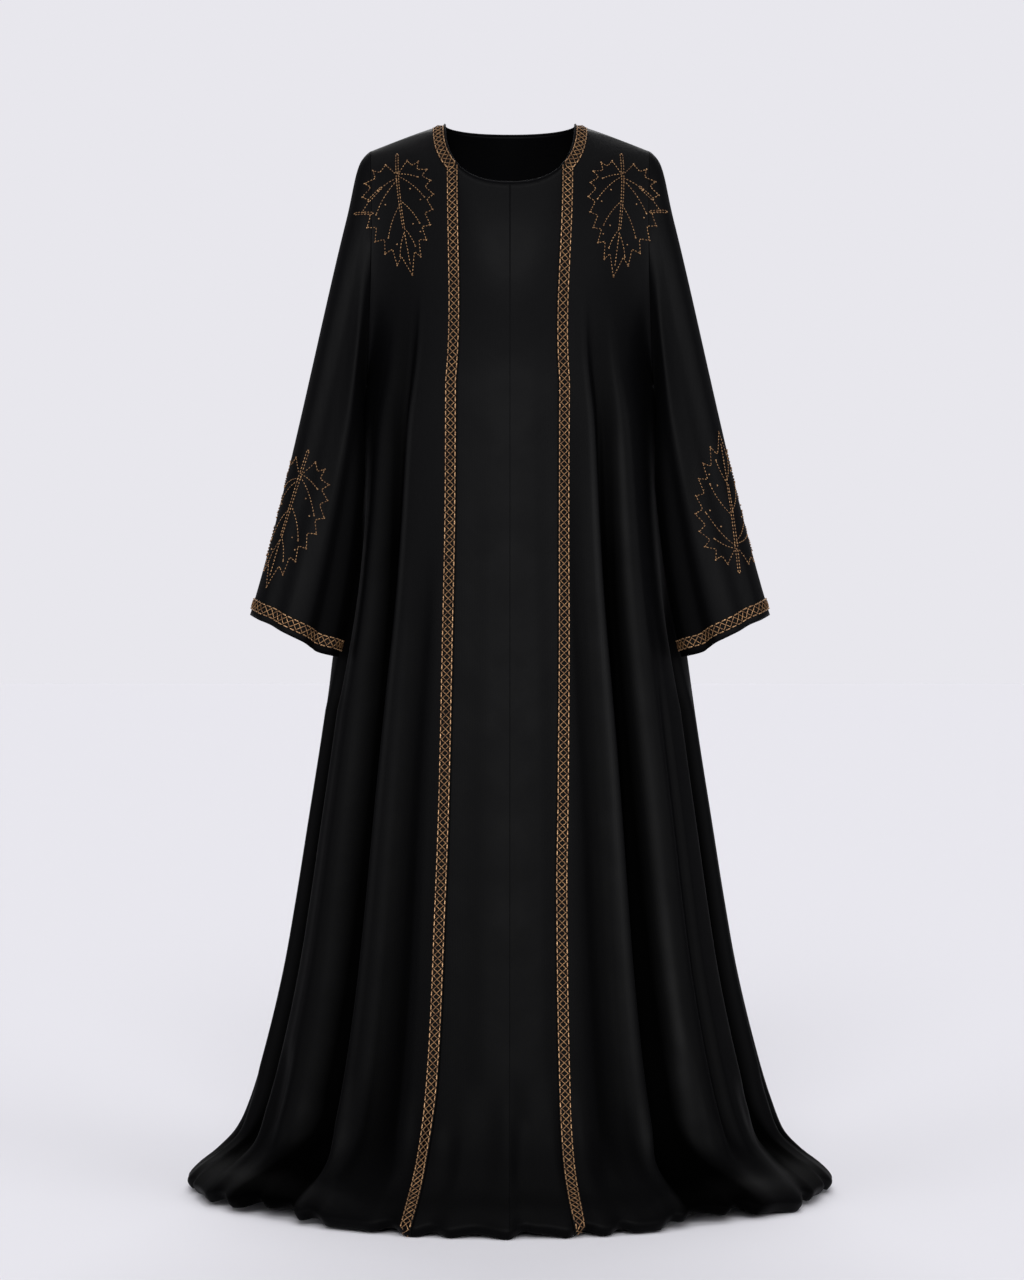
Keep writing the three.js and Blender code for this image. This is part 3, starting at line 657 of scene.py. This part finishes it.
def side_front_grid(side):
    seam, edge = (abs(float(seam_angle(side, UNDERARM, w))) for w in (0, BRAID_WIDTH))
    beyond = np.abs(even_angles(side * edge, side * 90, SIDE_COLUMNS))
    angles = np.concatenate([np.linspace(seam, edge, BRAID_STEPS + 1), beyond[1:]])
    shares = side_shares(angles, edge)
    chest = yoke_sheet(side, 1, angles, shares, YOKE_ROWS)
    inner, outer = front_edge(side, YOKE_ROWS), braid_edge(side, YOKE_ROWS)
    lead = (outer - chest[:, BRAID_STEPS])[:, None]
    chest = chest + lead * (clamp01(1 - (shares - BRAID_SHARE) / 0.4) ** 2)[None, :, None]
    step = np.linspace(0, 1, BRAID_STEPS + 1)[None, :, None]
    chest[:, : BRAID_STEPS + 1] = inner[:, None] * (1 - step) + outer[:, None] * step
    heights = SKIRT_HEIGHTS[:, None]
    here = np.abs(seam_angle(side, heights, BRAID_WIDTH))
    drifted = angles + (here - edge) * smooth(1 - (angles - edge) / DRIFT_SPAN)
    start = np.abs(seam_angle(side, heights))
    drifted[:, : BRAID_STEPS + 1] = start + (here - start) * step[0, :, 0]
    return np.concatenate([chest, body_point(side * drifted, heights)])


front_side, side_surface = {}, {}
for side, name in SIDES:
    grid = side_front_grid(side)
    front_side[side] = grid
    sewn = tucked(grid, side < 0, {"top": (0.85, 0.0), "first": (0.05, 0.1), "last": (0.3, 0.0)})
    piece = cut_cloth(f"front_side_{name}_cloth", sewn, False, side < 0, shade=shade_of(grid))
    side_surface[side] = piece
    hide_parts("front_side_" + name)


# Back: one plain piece of the same crepe from shoulder seam to hem, joined to the side fronts at
# the shoulders and down both sides.
BACK_NECK_ANGLE = 24
BACK_NECK_COLUMNS = 26
BACK_COLUMNS = 100


def back_neck(side, turned):
    sine, cosine = sine_cosine(turned)
    x = NECK_HALF * np.maximum(0, cosine) ** 0.9
    return place(side * x, SEAM_Y + NECK_BACK_REACH * sine**0.8, NECK_TOP - NECK_BACK_DROP * sine)


def back_half(side):
    """Half of the back, from its middle to the side seam."""
    neck = np.abs(even_angles(side * 180, side * (180 - BACK_NECK_ANGLE), BACK_NECK_COLUMNS))
    share = (180 - neck) / BACK_NECK_ANGLE
    blend = smooth((share - 0.5) / 0.5)[:, None]
    leave = leave_neck(-1, share) * (1 - blend) + leave_shoulder(side, -1, 0.0) * blend
    t = np.interp(YOKE_ROWS, range(11), YOKE_SHARES)[:, None]
    middle = yoke_point(back_neck(side, 90 * (1 - share)), leave, side * neck, t)
    angles = np.abs(even_angles(side * (180 - BACK_NECK_ANGLE), side * 90, BACK_COLUMNS))
    shares = ((180 - BACK_NECK_ANGLE - angles) / (90 - BACK_NECK_ANGLE)) ** 1.1
    shoulder = yoke_sheet(side, -1, angles, shares, YOKE_ROWS)
    heights = SKIRT_HEIGHTS[:, None]
    every = np.concatenate([neck[:-1], angles])
    chest = np.concatenate([middle[:, :-1], shoulder], 1)
    return np.concatenate([chest, body_point(side * every, heights)])


back_grid = np.concatenate([back_half(-1)[:, ::-1], back_half(1)[:, 1:]], 1)
sewn = tucked(back_grid, True, {"top": (0.85, 0.0), "first": (0.3, 0.0), "last": (0.3, 0.0)})
back = cut_cloth("back_cloth", sewn, False, True, shade=shade_of(back_grid))
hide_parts("back")


# Sleeves: a wide tapered tube of the same crepe at each side, set into the armhole and open at the
# cuff, which slants. It hangs beside the body with a few long soft folds.
CUFF_OUTER = {"x": 349, "height": 783}
CUFF_INNER = {"x": 239, "height": 726}
CUFF_DEPTH = 62
CUFF_Y = -66
CUFF_HEM = 8
SLEEVE_APART = 0.35
SLEEVE_EASE = 0.8
SLEEVE_LEAN = 9
SLEEVE_HEAD = 4.5
SLEEVE_ANGLES = np.arange(0, 360, 360 / 132)
SLEEVE_ROWS = 110
# How dark the painted shade on a sleeve's inner side is.
SLEEVE_SHADE = 0.8
SLEEVE_DROP = 0.6
SLEEVE_PULL = 170
CUFF_ROWS = [*np.arange(60, CUFF_HEM + BRAID_WIDTH, -4), CUFF_HEM + BRAID_WIDTH, 15.5, CUFF_HEM, 4, 0]
CUFF_LEAN = 0.29
SLEEVE_VALLEYS = table(
    "angle before after depth start",
    (128, 26, 26, 13, 0.1),
    (62, 22, 22, 6, 0.12),
    (225, 26, 26, 11, 0.15),
    (292, 24, 24, 7, 0.2),
)


def sleeve_point(side, turned, t):
    """A point of a sleeve: the angle round it as on the armhole, and the share of its length.
    The cloth leaves the armhole on slopes that run from its front to its back and underarm."""
    turned, t = np.broadcast_arrays(np.asarray(turned, float), np.asarray(t, float))
    sine, cosine = sine_cosine(turned)
    top = armhole(side, turned)
    x, height = (
        (CUFF_OUTER[key] + CUFF_INNER[key]) / 2 + (CUFF_OUTER[key] - CUFF_INNER[key]) / 2 * cosine
        for key in ("x", "height")
    )
    cuff = place(side * x, CUFF_Y - CUFF_DEPTH * sine, height)
    upper = 0.5 + 0.5 * cosine
    front = smooth((sine + 0.5) / 0.5)
    onward = front * smooth((upper - 0.3) / 0.4)
    inner = front * -1.2 * (1 - upper) ** 1.5 - (1 - front) * 0.8 * (1 - upper)
    forward = (1 - onward) * (inner - 0.45 * sine) + onward * 0.2 * sine
    aside = front * (0.03 + 0.77 * upper) + (1 - front) * (0.42 + 0.38 * upper)
    leave = np.stack([side * aside, forward, -SLEEVE_DROP + 0 * sine], -1)
    leave = leave * (SLEEVE_PULL - 60 * upper)[..., None]
    end = np.stack([side * (CUFF_LEAN + 0.02 * cosine), -0.04 * sine, -1 + 0 * sine], -1)
    end = end * norm(top - cuff, axis=-1, keepdims=True)
    point = hermite(top, leave, cuff, end, t[..., None])
    out = unit(np.stack([side * cosine, -sine, 0 * sine], -1))
    depth = np.zeros(turned.shape)
    for angle, before, after, deep, start in zip(*SLEEVE_VALLEYS.values()):
        down = clamp01((t - start) / (1 - start))
        depth = depth + deep * bump(turn(turned - angle), before, after) * down
    point = point - out * depth[..., None]
    head = SLEEVE_HEAD * upper**2 * bump(t - 0.11, 0.11, 0.18)
    point[..., 0] += side * (head - SLEEVE_LEAN * front * (1 - upper) ** 2 * smooth((t - 0.2) / 0.3))
    return point


def share_from_cuff(side, turned, distance):
    near = sleeve_point(side, turned, 0.98) - sleeve_point(side, turned, 1)
    return 1 - distance / (norm(near, axis=-1) / 0.02)


def sleeve_grid(side):
    length = np.linspace(0, 1, SLEEVE_ROWS)[:-1, None] * share_from_cuff(side, SLEEVE_ANGLES, 64)
    cuff = np.array([share_from_cuff(side, SLEEVE_ANGLES, distance) for distance in CUFF_ROWS])
    grid = sleeve_point(side, SLEEVE_ANGLES, np.concatenate([length, cuff]))
    sine, cosine = sine_cosine(SLEEVE_ANGLES)
    under = 0.5 - 0.5 * cosine
    grid[..., 0] += side * (SLEEVE_APART + SLEEVE_EASE * under * smooth(-2 * sine))
    grid[..., 1] -= SLEEVE_EASE * under * smooth(2 * sine)
    return grid


sleeves, sleeve_surface = {}, {}
for side, name in SIDES:
    grid = sleeve_grid(side)
    sleeves[side] = grid
    # Painted shade on each sleeve's inner side, where it hangs against the body, fading in from the armhole;
    # no painted highlight.
    painted_shade_near_body = clamp01(0.5 - 0.5 * sine_cosine(SLEEVE_ANGLES)[1]) ** 3
    shade = SLEEVE_SHADE * painted_shade_near_body * smooth(np.linspace(0, 1, len(grid)) / 0.2)[:, None]
    shade = np.stack([shade, 0 * shade], -1)
    piece = cut_cloth(f"sleeve_{name}_cloth", grid, True, side > 0, shade=shade)
    sleeve_surface[side] = piece
    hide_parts("sleeve_" + name)


# Neck binding: a strip of black satin, folded over a cord and sewn round the neck edge.
BINDING = 3.0
BINDING_GAP = 0.03
BINDING_SIDES = 12


def toned(made, pattern, codes, surface, strength, ends=(0.0, 1.0)):
    """Gives a material two tones by one pattern and a fine relief by another."""
    tree, look = made.node_tree, made.node_tree.nodes["Principled BSDF"]
    tone = node(tree, "ValToRGB", {"Fac": pattern.outputs["Fac"]})
    for element, end, code in zip(tone.color_ramp.elements, ends, codes):
        element.position = end
        element.color = srgb(code)
    height = surface.outputs["Fac"]
    relief = node(tree, "Bump", {"Height": height, "Strength": strength, "Distance": 0.0002})
    tree.links.new(tone.outputs["Color"], look.inputs["Base Color"])
    tree.links.new(relief.outputs["Normal"], look.inputs["Normal"])
    return made


def satin_material():
    """Black satin cut on the bias. It gives the eye a deeper black than the crepe, with a
    brighter line of light along its round."""
    made, tree, _ = shaded("black satin", {"Roughness": 0.55, "Specular IOR Level": 0.04})
    spot = node(tree, "TexCoord").outputs["Object"]
    thread = node(tree, "TexNoise", {"Vector": spot, "Scale": 1 / 0.0009, "Detail": 2.0})
    return toned(made, thread, ("#030304", "#0c0c0e"), thread, 0.3)


satin = satin_material()


def joined_piece(name, parts):
    """One piece from several lots of points, faces and material."""
    mesh = bpy.data.meshes.new(name)
    points, faces, looks, base = [], [], [], 0
    for number, (some, quads, material) in enumerate(parts):
        mesh.materials.append(material)
        points.append(some)
        faces += [tuple(dict.fromkeys(int(v) + base for v in quad)) for quad in quads]
        looks += [number] * len(quads)
        base += len(some)
    mesh.from_pydata((np.concatenate(points) / 1000).tolist(), [], faces)
    mesh.polygons.foreach_set("material_index", looks)
    mesh.shade_smooth()
    piece = linked(name, mesh)
    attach(piece, "root")
    return piece


def tube(path, up, aside, radii, sides, closed):
    """Points and faces of a tube along a path, with its two directions across."""
    sine, cosine = sine_cosine(np.arange(sides) * 360 / sides)
    ring = cosine[None, :, None] * up[:, None] + sine[None, :, None] * aside[:, None]
    points = path[:, None] + ring * np.asarray(radii, float).reshape(-1, 1, 1)
    count = len(path)
    index = np.arange(count * sides).reshape(count, sides)
    ahead = np.roll(index, -1, axis=0) if closed else index[1:]
    index = index if closed else index[:-1]
    beside, across = np.roll(index, -1, 1), np.roll(ahead, -1, 1)
    faces = np.stack([index, beside, across, ahead], -1).reshape(-1, 4).tolist()
    if not closed:
        faces.append(list(range(sides))[::-1])
        faces.append([(count - 1) * sides + k for k in range(sides)])
    return points.reshape(-1, 3), faces


def neck_edge():
    """The neck edge of every piece in turn, and the way from it into the cloth."""
    neck_rows = int((YOKE_ROWS < NECKLINE_ROWS).sum())
    left, right = front_centre[1], front_centre[-1]
    middle = (back_grid.shape[1] - 1) // 2
    span = np.arange(middle + BACK_NECK_COLUMNS - 1, middle - BACK_NECK_COLUMNS, -1)
    parts = [
        (left[0], left[1]),
        (front_side[1][neck_rows - 1 : 0 : -1, 0], front_side[1][neck_rows - 1 : 0 : -1, 1]),
        (back_grid[0, span], back_grid[1, span]),
        (front_side[-1][1:neck_rows, 0], front_side[-1][1:neck_rows, 1]),
        (right[0, ::-1][:-1], right[1, ::-1][:-1]),
    ]
    edge, inside = (np.concatenate(some) for some in zip(*parts))
    return edge, unit(inside - edge)


edge, into = neck_edge()
for _ in range(3):
    into = unit(into + np.roll(into, 1, 0) + np.roll(into, -1, 0))
along = unit(np.roll(edge, -1, 0) - np.roll(edge, 1, 0))
facing = unit(np.cross(into, along))
centre = edge - into * (BINDING / 2 + BINDING_GAP) - facing * CLOTH / 2
points, faces = tube(centre, facing, into, BINDING / 2, BINDING_SIDES, True)
binding = joined_piece("neck_binding_satin", [(points, faces, satin)])
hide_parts("neck_binding")


# Front braids: a flat braid 15 mm wide on each side front, sewn along the seam from the shoulder
# to the hem. On a black tape lie an edge row of oblong bead pairs at each side and, between them,
# two strands of bronze cord that cross every 9 mm.
CROSSING = 9.2
TAPE_HALF = 8.1
EDGE_ROW = 6.6
STRAND_SWING = 4.3
STRAND_RADIUS = 0.62
STRAND_SIDES = 6
STRAND_STEPS = 12
TAPE_LIFT = 0.5
TAPE_THICK = 0.45
BEAD_TURNS = 6
EDGE_LENGTH = 7.4
EDGE_RADIUS = 1.05
LINK_ROW = 5.5
LINK_RADIUS = 0.7


def tape_material():
    """Black grosgrain tape of dull polyester. It gives the eye the near black ground that shows
    through the open diamonds of the braid."""
    made, tree, _ = shaded("black grosgrain tape", {"Roughness": 0.8, "Specular IOR Level": 0.1})
    uv = node(tree, "UVMap", uv_map="cloth").outputs["UV"]
    ribs = node(tree, "TexWave", {"Vector": uv, "Scale": 1 / 0.0008 / 6.2832}, bands_direction="Y")
    return toned(made, ribs, ("#020202", "#080808"), ribs, 0.4)


def bronze_material(name, dark, light, grain):
    """Glass beads lined with bronze, and cord of the same colour. They give the eye small warm
    lights on a brown body that turns dark towards its edges. Bead and cord differ in grain."""
    made, tree, _ = shaded(name, {"Metallic": 0.6, "Roughness": 0.32})
    spot = node(tree, "TexCoord").outputs["Object"]
    patches = node(tree, "TexNoise", {"Vector": spot, "Scale": 1 / 0.0045, "Detail": 2.0})
    fine = node(tree, "TexNoise", {"Vector": spot, "Scale": 1 / grain, "Detail": 2.0})
    return toned(made, patches, (dark, light), fine, 0.3, (0.36, 0.62))


tape_cloth = tape_material()
bronze_bead = bronze_material("bronze lined glass bead", "#6c4f36", "#aa8560", 0.0009)
bronze_cord = bronze_material("bronze cord", "#5f442f", "#94714d", 0.0006)


class Line:
    """A line on the cloth with the ways along it, across it and out of the cloth, in millimetres."""

    def __init__(self, centre, across, away, closed):
        if closed:
            centre, across, away = (np.concatenate([a, a[:1]]) for a in (centre, across, away))
        self.run = run_along(centre)
        self.length = self.run[-1]
        self.closed = closed
        self.centre, self.across, self.away = centre, unit(across), away

    def at(self, run, aside=0.0, lift=0.0):
        """Points along the line, moved aside and out of the cloth, with the three ways there."""
        run = np.asarray(run, float)
        wrapped = run % self.length if self.closed else run

        def ends(shift):
            moved = wrapped + shift
            return moved % self.length if self.closed else np.clip(moved, 0, self.length)

        ahead, behind = (read_along(self.run, self.centre, ends(shift)) for shift in (0.8, -0.8))
        along = unit(ahead - behind)
        across = read_along(self.run, self.across, wrapped)
        across = unit(across - along * (across * along).sum(-1, keepdims=True))
        out = np.cross(along, across)
        away = read_along(self.run, self.away, wrapped)
        out = out * np.sign((out * away).sum(-1, keepdims=True))
        aside, lift = (np.broadcast_to(np.asarray(v, float), run.shape)[:, None] for v in (aside, lift))
        spots = read_along(self.run, self.centre, wrapped)
        return spots + across * aside + out * lift, along, across, out


def beads(places, along, across, out, length, radius, waist=1.0):
    """Oblong beads as points and faces: each two rounded halves, drawn in between them by waist."""
    stations = np.array([-0.86, -0.45, 0.0, 0.45, 0.86]) * length / 2
    widths = np.array([0.62, 1.0, waist, 1.0, 0.62]) * radius
    ring = sine_cosine(np.arange(BEAD_TURNS) * 360 / BEAD_TURNS)
    local = [[0, -length / 2, 0]]
    local += [[x * w, y, z * w] for y, w in zip(stations, widths) for z, x in zip(*ring)]
    local = np.array(local + [[0, length / 2, 0]])
    faces, last = [], len(local) - 1
    for k in range(BEAD_TURNS):
        n = (k + 1) % BEAD_TURNS
        faces.append((0, 1 + n, 1 + k, 1 + k))
        for r in range(len(stations) - 1):
            a, b = 1 + r * BEAD_TURNS, 1 + (r + 1) * BEAD_TURNS
            faces.append((a + k, a + n, b + n, b + k))
        faces.append((last - BEAD_TURNS + k, last - BEAD_TURNS + n, last, last))
    ways = np.stack([across, along, out], 1)
    points = places[:, None] + np.einsum("vi,nij->nvj", local, ways)
    turned = np.sign(np.linalg.det(ways))[:, None, None] > 0
    faces = np.array(faces)
    every = np.where(turned, faces[None, :, ::-1], faces[None])
    every = every + (np.arange(len(places)) * len(local))[:, None, None]
    return points.reshape(-1, 3), every.reshape(-1, 4)


def strand(line, sign, crossing):
    """One of the two cords that swing from side to side and pass over and under each other."""
    count = round(line.length / crossing * STRAND_STEPS)
    run = np.linspace(0, line.length, count, endpoint=not line.closed)
    phase = np.pi * run / crossing
    swing = sign * STRAND_SWING * (np.sin(phase) - np.sin(3 * phase) / 9) * 0.9
    over = TAPE_LIFT + STRAND_RADIUS + 0.3 * (1 + sign * np.cos(phase))
    path, _, _, out = line.at(run, swing, over)
    if line.closed:
        way = unit(np.roll(path, -1, 0) - np.roll(path, 1, 0))
    else:
        way = unit(np.gradient(path, axis=0))
    aside = unit(np.cross(way, out))
    radii = STRAND_RADIUS + 0.08 * np.cos(8 * np.pi * run / crossing)
    return tube(path, np.cross(aside, way), aside, radii, STRAND_SIDES, line.closed)


def lay_braid(name, line, crossing, flip):
    """Lays the tape, the two strands and the two edge rows along a line."""
    count = int(line.length // 4)
    run = np.linspace(0, line.length, count, endpoint=not line.closed)
    columns = [line.at(run, a, TAPE_LIFT)[0] for a in np.linspace(-TAPE_HALF, TAPE_HALF, 7)]
    grid = np.stack(columns, 0 if line.closed else 1)
    tape = cut_cloth(name + "_tape", grid, line.closed, flip, tape_cloth, TAPE_THICK)
    number = round(line.length / crossing) if line.closed else int(line.length // crossing)
    crossings = np.arange(0 if line.closed else 1, number) * crossing
    parts = [(*strand(line, sign, crossing), bronze_cord) for sign in (-1, 1)]
    for way in (-1, 1):
        row = line.at(crossings, way * EDGE_ROW, TAPE_LIFT + EDGE_RADIUS)
        parts.append((*beads(*row, EDGE_LENGTH, EDGE_RADIUS, 0.68), bronze_bead))
        links = line.at(crossings + crossing / 2, way * LINK_ROW, TAPE_LIFT + LINK_RADIUS)
        parts.append((*beads(*links, 2 * LINK_RADIUS, LINK_RADIUS), bronze_bead))
    piece = joined_piece(name + "_beads", parts)
    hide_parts(name)


for side, name in SIDES:
    grid = front_side[side]
    inner, outer = grid[:, 0], grid[:, BRAID_STEPS]
    away = grid_normals(grid, False, side < 0)[:, BRAID_STEPS // 2]
    line = Line((inner + outer) / 2, outer - inner, away, False)
    lay_braid("braid_front_" + name, line, CROSSING, side < 0)


# Cuff braids: the same braid, sewn round each sleeve 8 mm above the edge of the cuff.
for side, name in SIDES:
    grid = sleeves[side]
    upper, lower = grid[-5], grid[-3]
    away = grid_normals(grid, True, side > 0)[-4]
    line = Line((upper + lower) / 2, lower - upper, away, True)
    crossing = line.length / (2 * round(line.length / CROSSING / 2))
    lay_braid("braid_cuff_" + name, line, crossing, side > 0)


# Leaf embroidery: four outlined leaves in bronze beads, one on each shoulder and one on each
# sleeve, couched down bead by bead. The leaf is a plain pointed vine leaf of this file's own
# drawing: each tooth of its edge and the notch above it are given in millimetres aside from the
# midrib and down from its start, and each vein as where it starts, its angle and its reach.
TEETH = table(
    "aside down notch_aside notch_down",
    (16, -20, 24, -9),
    (34, -14, 31, -1),
    (47, 3, 38, 11),
    (52, 22, 42, 29),
    (55, 44, 43, 49),
    (51, 66, 38, 68),
    (44, 87, 30, 86),
    (34, 106, 22, 102),
    (20, 126, 11, 116),
)
LEAF_LENGTH = 146
VEINS = table(
    "start angle reach",
    (2, 66, 32),
    (5, 40, 56),
    (42, 31, 48),
    (82, 23, 33),
)
DOTS = table(
    "aside down",
    (-17, 27),
    (21, 40),
    (-30, 47),
    (33, 57),
    (-15, 78),
    (14, 98),
    (-24, 92),
)
STITCH = 4.6
STITCH_SHARE = 0.68
STITCH_RADIUS = 0.74
KNOT_RADIUS = 1.05
KNOT_LIFT = 0.8


def polar(angle, length):
    return np.stack(sine_cosine(angle), -1) * length


def leaf_lines():
    """The leaf as lines of stitches, and its knots: aside and down from the end of the stem."""
    lines, knots = [], []
    tip = np.array([0.0, LEAF_LENGTH])
    for side in (-1, 1):
        narrow = np.array([1.0 if side > 0 else -0.9, 1.0])
        outline = [np.array([side * 2.5, -2.0])]
        for aside, down, notch_aside, notch_down in zip(*TEETH.values()):
            outline += list(np.array([[aside, down], [notch_aside, notch_down]]) * narrow)
        lines.append(np.array(outline + [tip]))
        knots += outline[1::2] + [tip]
        for start, angle, reach in zip(*VEINS.values()):
            base = np.array([0.0, start + 3 * side])
            end = base + polar(side * angle, reach)
            bend = base + polar(side * (angle + 12), reach * 0.5)
            t = np.linspace(0, 1, 9)[:, None]
            lines.append((1 - t) ** 2 * base + 2 * t * (1 - t) * bend + t * t * end)
            knots.append(end)
        lines.append(np.array([[side * 1.6, 0.0], [side * 1.3, LEAF_LENGTH * 0.55]]))
    lines.append(np.array([[0.0, LEAF_LENGTH * 0.57], [0.0, LEAF_LENGTH * 0.9]]))
    knots += list(np.stack([DOTS["aside"], DOTS["down"]], -1))
    return lines, knots


def stem_lines(start, end, gap):
    """Two rows of stitches side by side, closed by a knot at each end."""
    start, end = np.array(start, float), np.array(end, float)
    aside = unit((end - start)[::-1] * [1, -1]) * gap / 2
    return [np.array([start + aside, end + aside]), np.array([start - aside, end - aside])], [start, end]


def outside_of(*sheets):
    """The outer face of some pieces, each a grid, whether it is closed and whether it is flipped."""
    points, quads = [], []
    for grid, closed, flip in sheets:
        rows, columns = grid.shape[:2]
        index = np.arange(rows * columns).reshape(rows, columns) + sum(map(len, points))
        quads += corners(index, closed)[:, :: -1 if flip else 1].tolist()
        points.append(grid.reshape(-1, 3))
    return BVHTree.FromPolygons(np.concatenate(points).tolist(), quads)


def on_cloth(cloth, start, down, aside, spots):
    """Where spots of a flat drawing lie when it is smoothed over the cloth from one point."""
    found, outs = [], []
    for x, y in spots:
        reach = math.hypot(x, y)
        spot, out = start.copy(), down.cross(aside)
        way = (aside * x + down * y).normalized() if reach > 0 else down.copy()
        steps = max(1, math.ceil(reach / 5))
        for _ in range(steps):
            near, facing, _, _ = cloth.find_nearest(spot + way * (reach / steps))
            way = (way - facing * way.dot(facing)).normalized()
            spot, out = near, facing
        found.append(list(spot))
        outs.append(list(out))
    return np.array(found), np.array(outs)


def stitched_leaf(name, cloth, junction, tip, scale, mirror, stems):
    """Beads along the lines of one leaf, whose stem ends at junction and which points to tip."""

    def front(x, height):
        hit = cloth.ray_cast(Vector((x, -600, height - SHOULDER_HEIGHT)), Vector((0, 1, 0)))
        return hit[:2]

    start, facing = front(*junction)
    down = front(*tip)[0] - start
    down = (down - facing * down.dot(facing)).normalized()
    aside = facing.cross(down) * mirror
    lines, knots = ([one * scale for one in some] for some in leaf_lines())
    for one in stems:
        more, ends = stem_lines(*one)
        lines += more
        knots += ends
    parts = []
    for line in lines:
        run = run_along(line)
        stops = np.linspace(0, run[-1], max(2, round(run[-1] / STITCH) + 1))
        found, outs = on_cloth(cloth, start, down, aside, read_along(run, line, stops))
        out = unit(outs[1:] + outs[:-1])
        centre = (found[1:] + found[:-1]) / 2 + out * STITCH_RADIUS * 0.75
        along = unit(found[1:] - found[:-1])
        across = unit(np.cross(along, out))
        length = float(norm(found[1:] - found[:-1], axis=1).mean()) * STITCH_SHARE
        stitches = beads(centre, along, across, np.cross(across, along), length, STITCH_RADIUS, 0.9)
        parts.append((*stitches, bronze_cord))
    found, outs = on_cloth(cloth, start, down, aside, knots)
    along = unit(np.cross(outs, [0.3, 0.1, 1.0]))
    centre, across = found + outs * KNOT_LIFT, np.cross(outs, along)
    parts.append((*beads(centre, along, across, outs, 2.2 * KNOT_RADIUS, KNOT_RADIUS), bronze_bead))
    joined_piece(name, parts)


shoulder_stems = [((0, -2), (0, -36), 3.4), ((24, 14), (44, 30), 3.0), ((40, 48), (66, 42), 3.0)]
sleeve_stems = [((0, -2), (0, -34), 3.0)]
for (side, name), tip_x in zip(SIDES, (-133, 141)):
    tip = (tip_x, 1236)
    sleeve_sheet = (sleeves[side], True, side > 0)
    shoulder = outside_of((front_side[side], False, side < 0), sleeve_sheet)
    stitched_leaf("leaf_shoulder_" + name, shoulder, (side * 152, 1377), tip, 1.0, side, shoulder_stems)
cloth = outside_of((sleeves[-1], True, False))
stitched_leaf("leaf_sleeve_right", cloth, (-280, 970), (-322, 830), 1.08, -1, sleeve_stems)
cloth = outside_of((sleeves[1], True, True))
stitched_leaf("leaf_sleeve_left", cloth, (302, 872), (283, 1018), 1.1, -1, sleeve_stems)
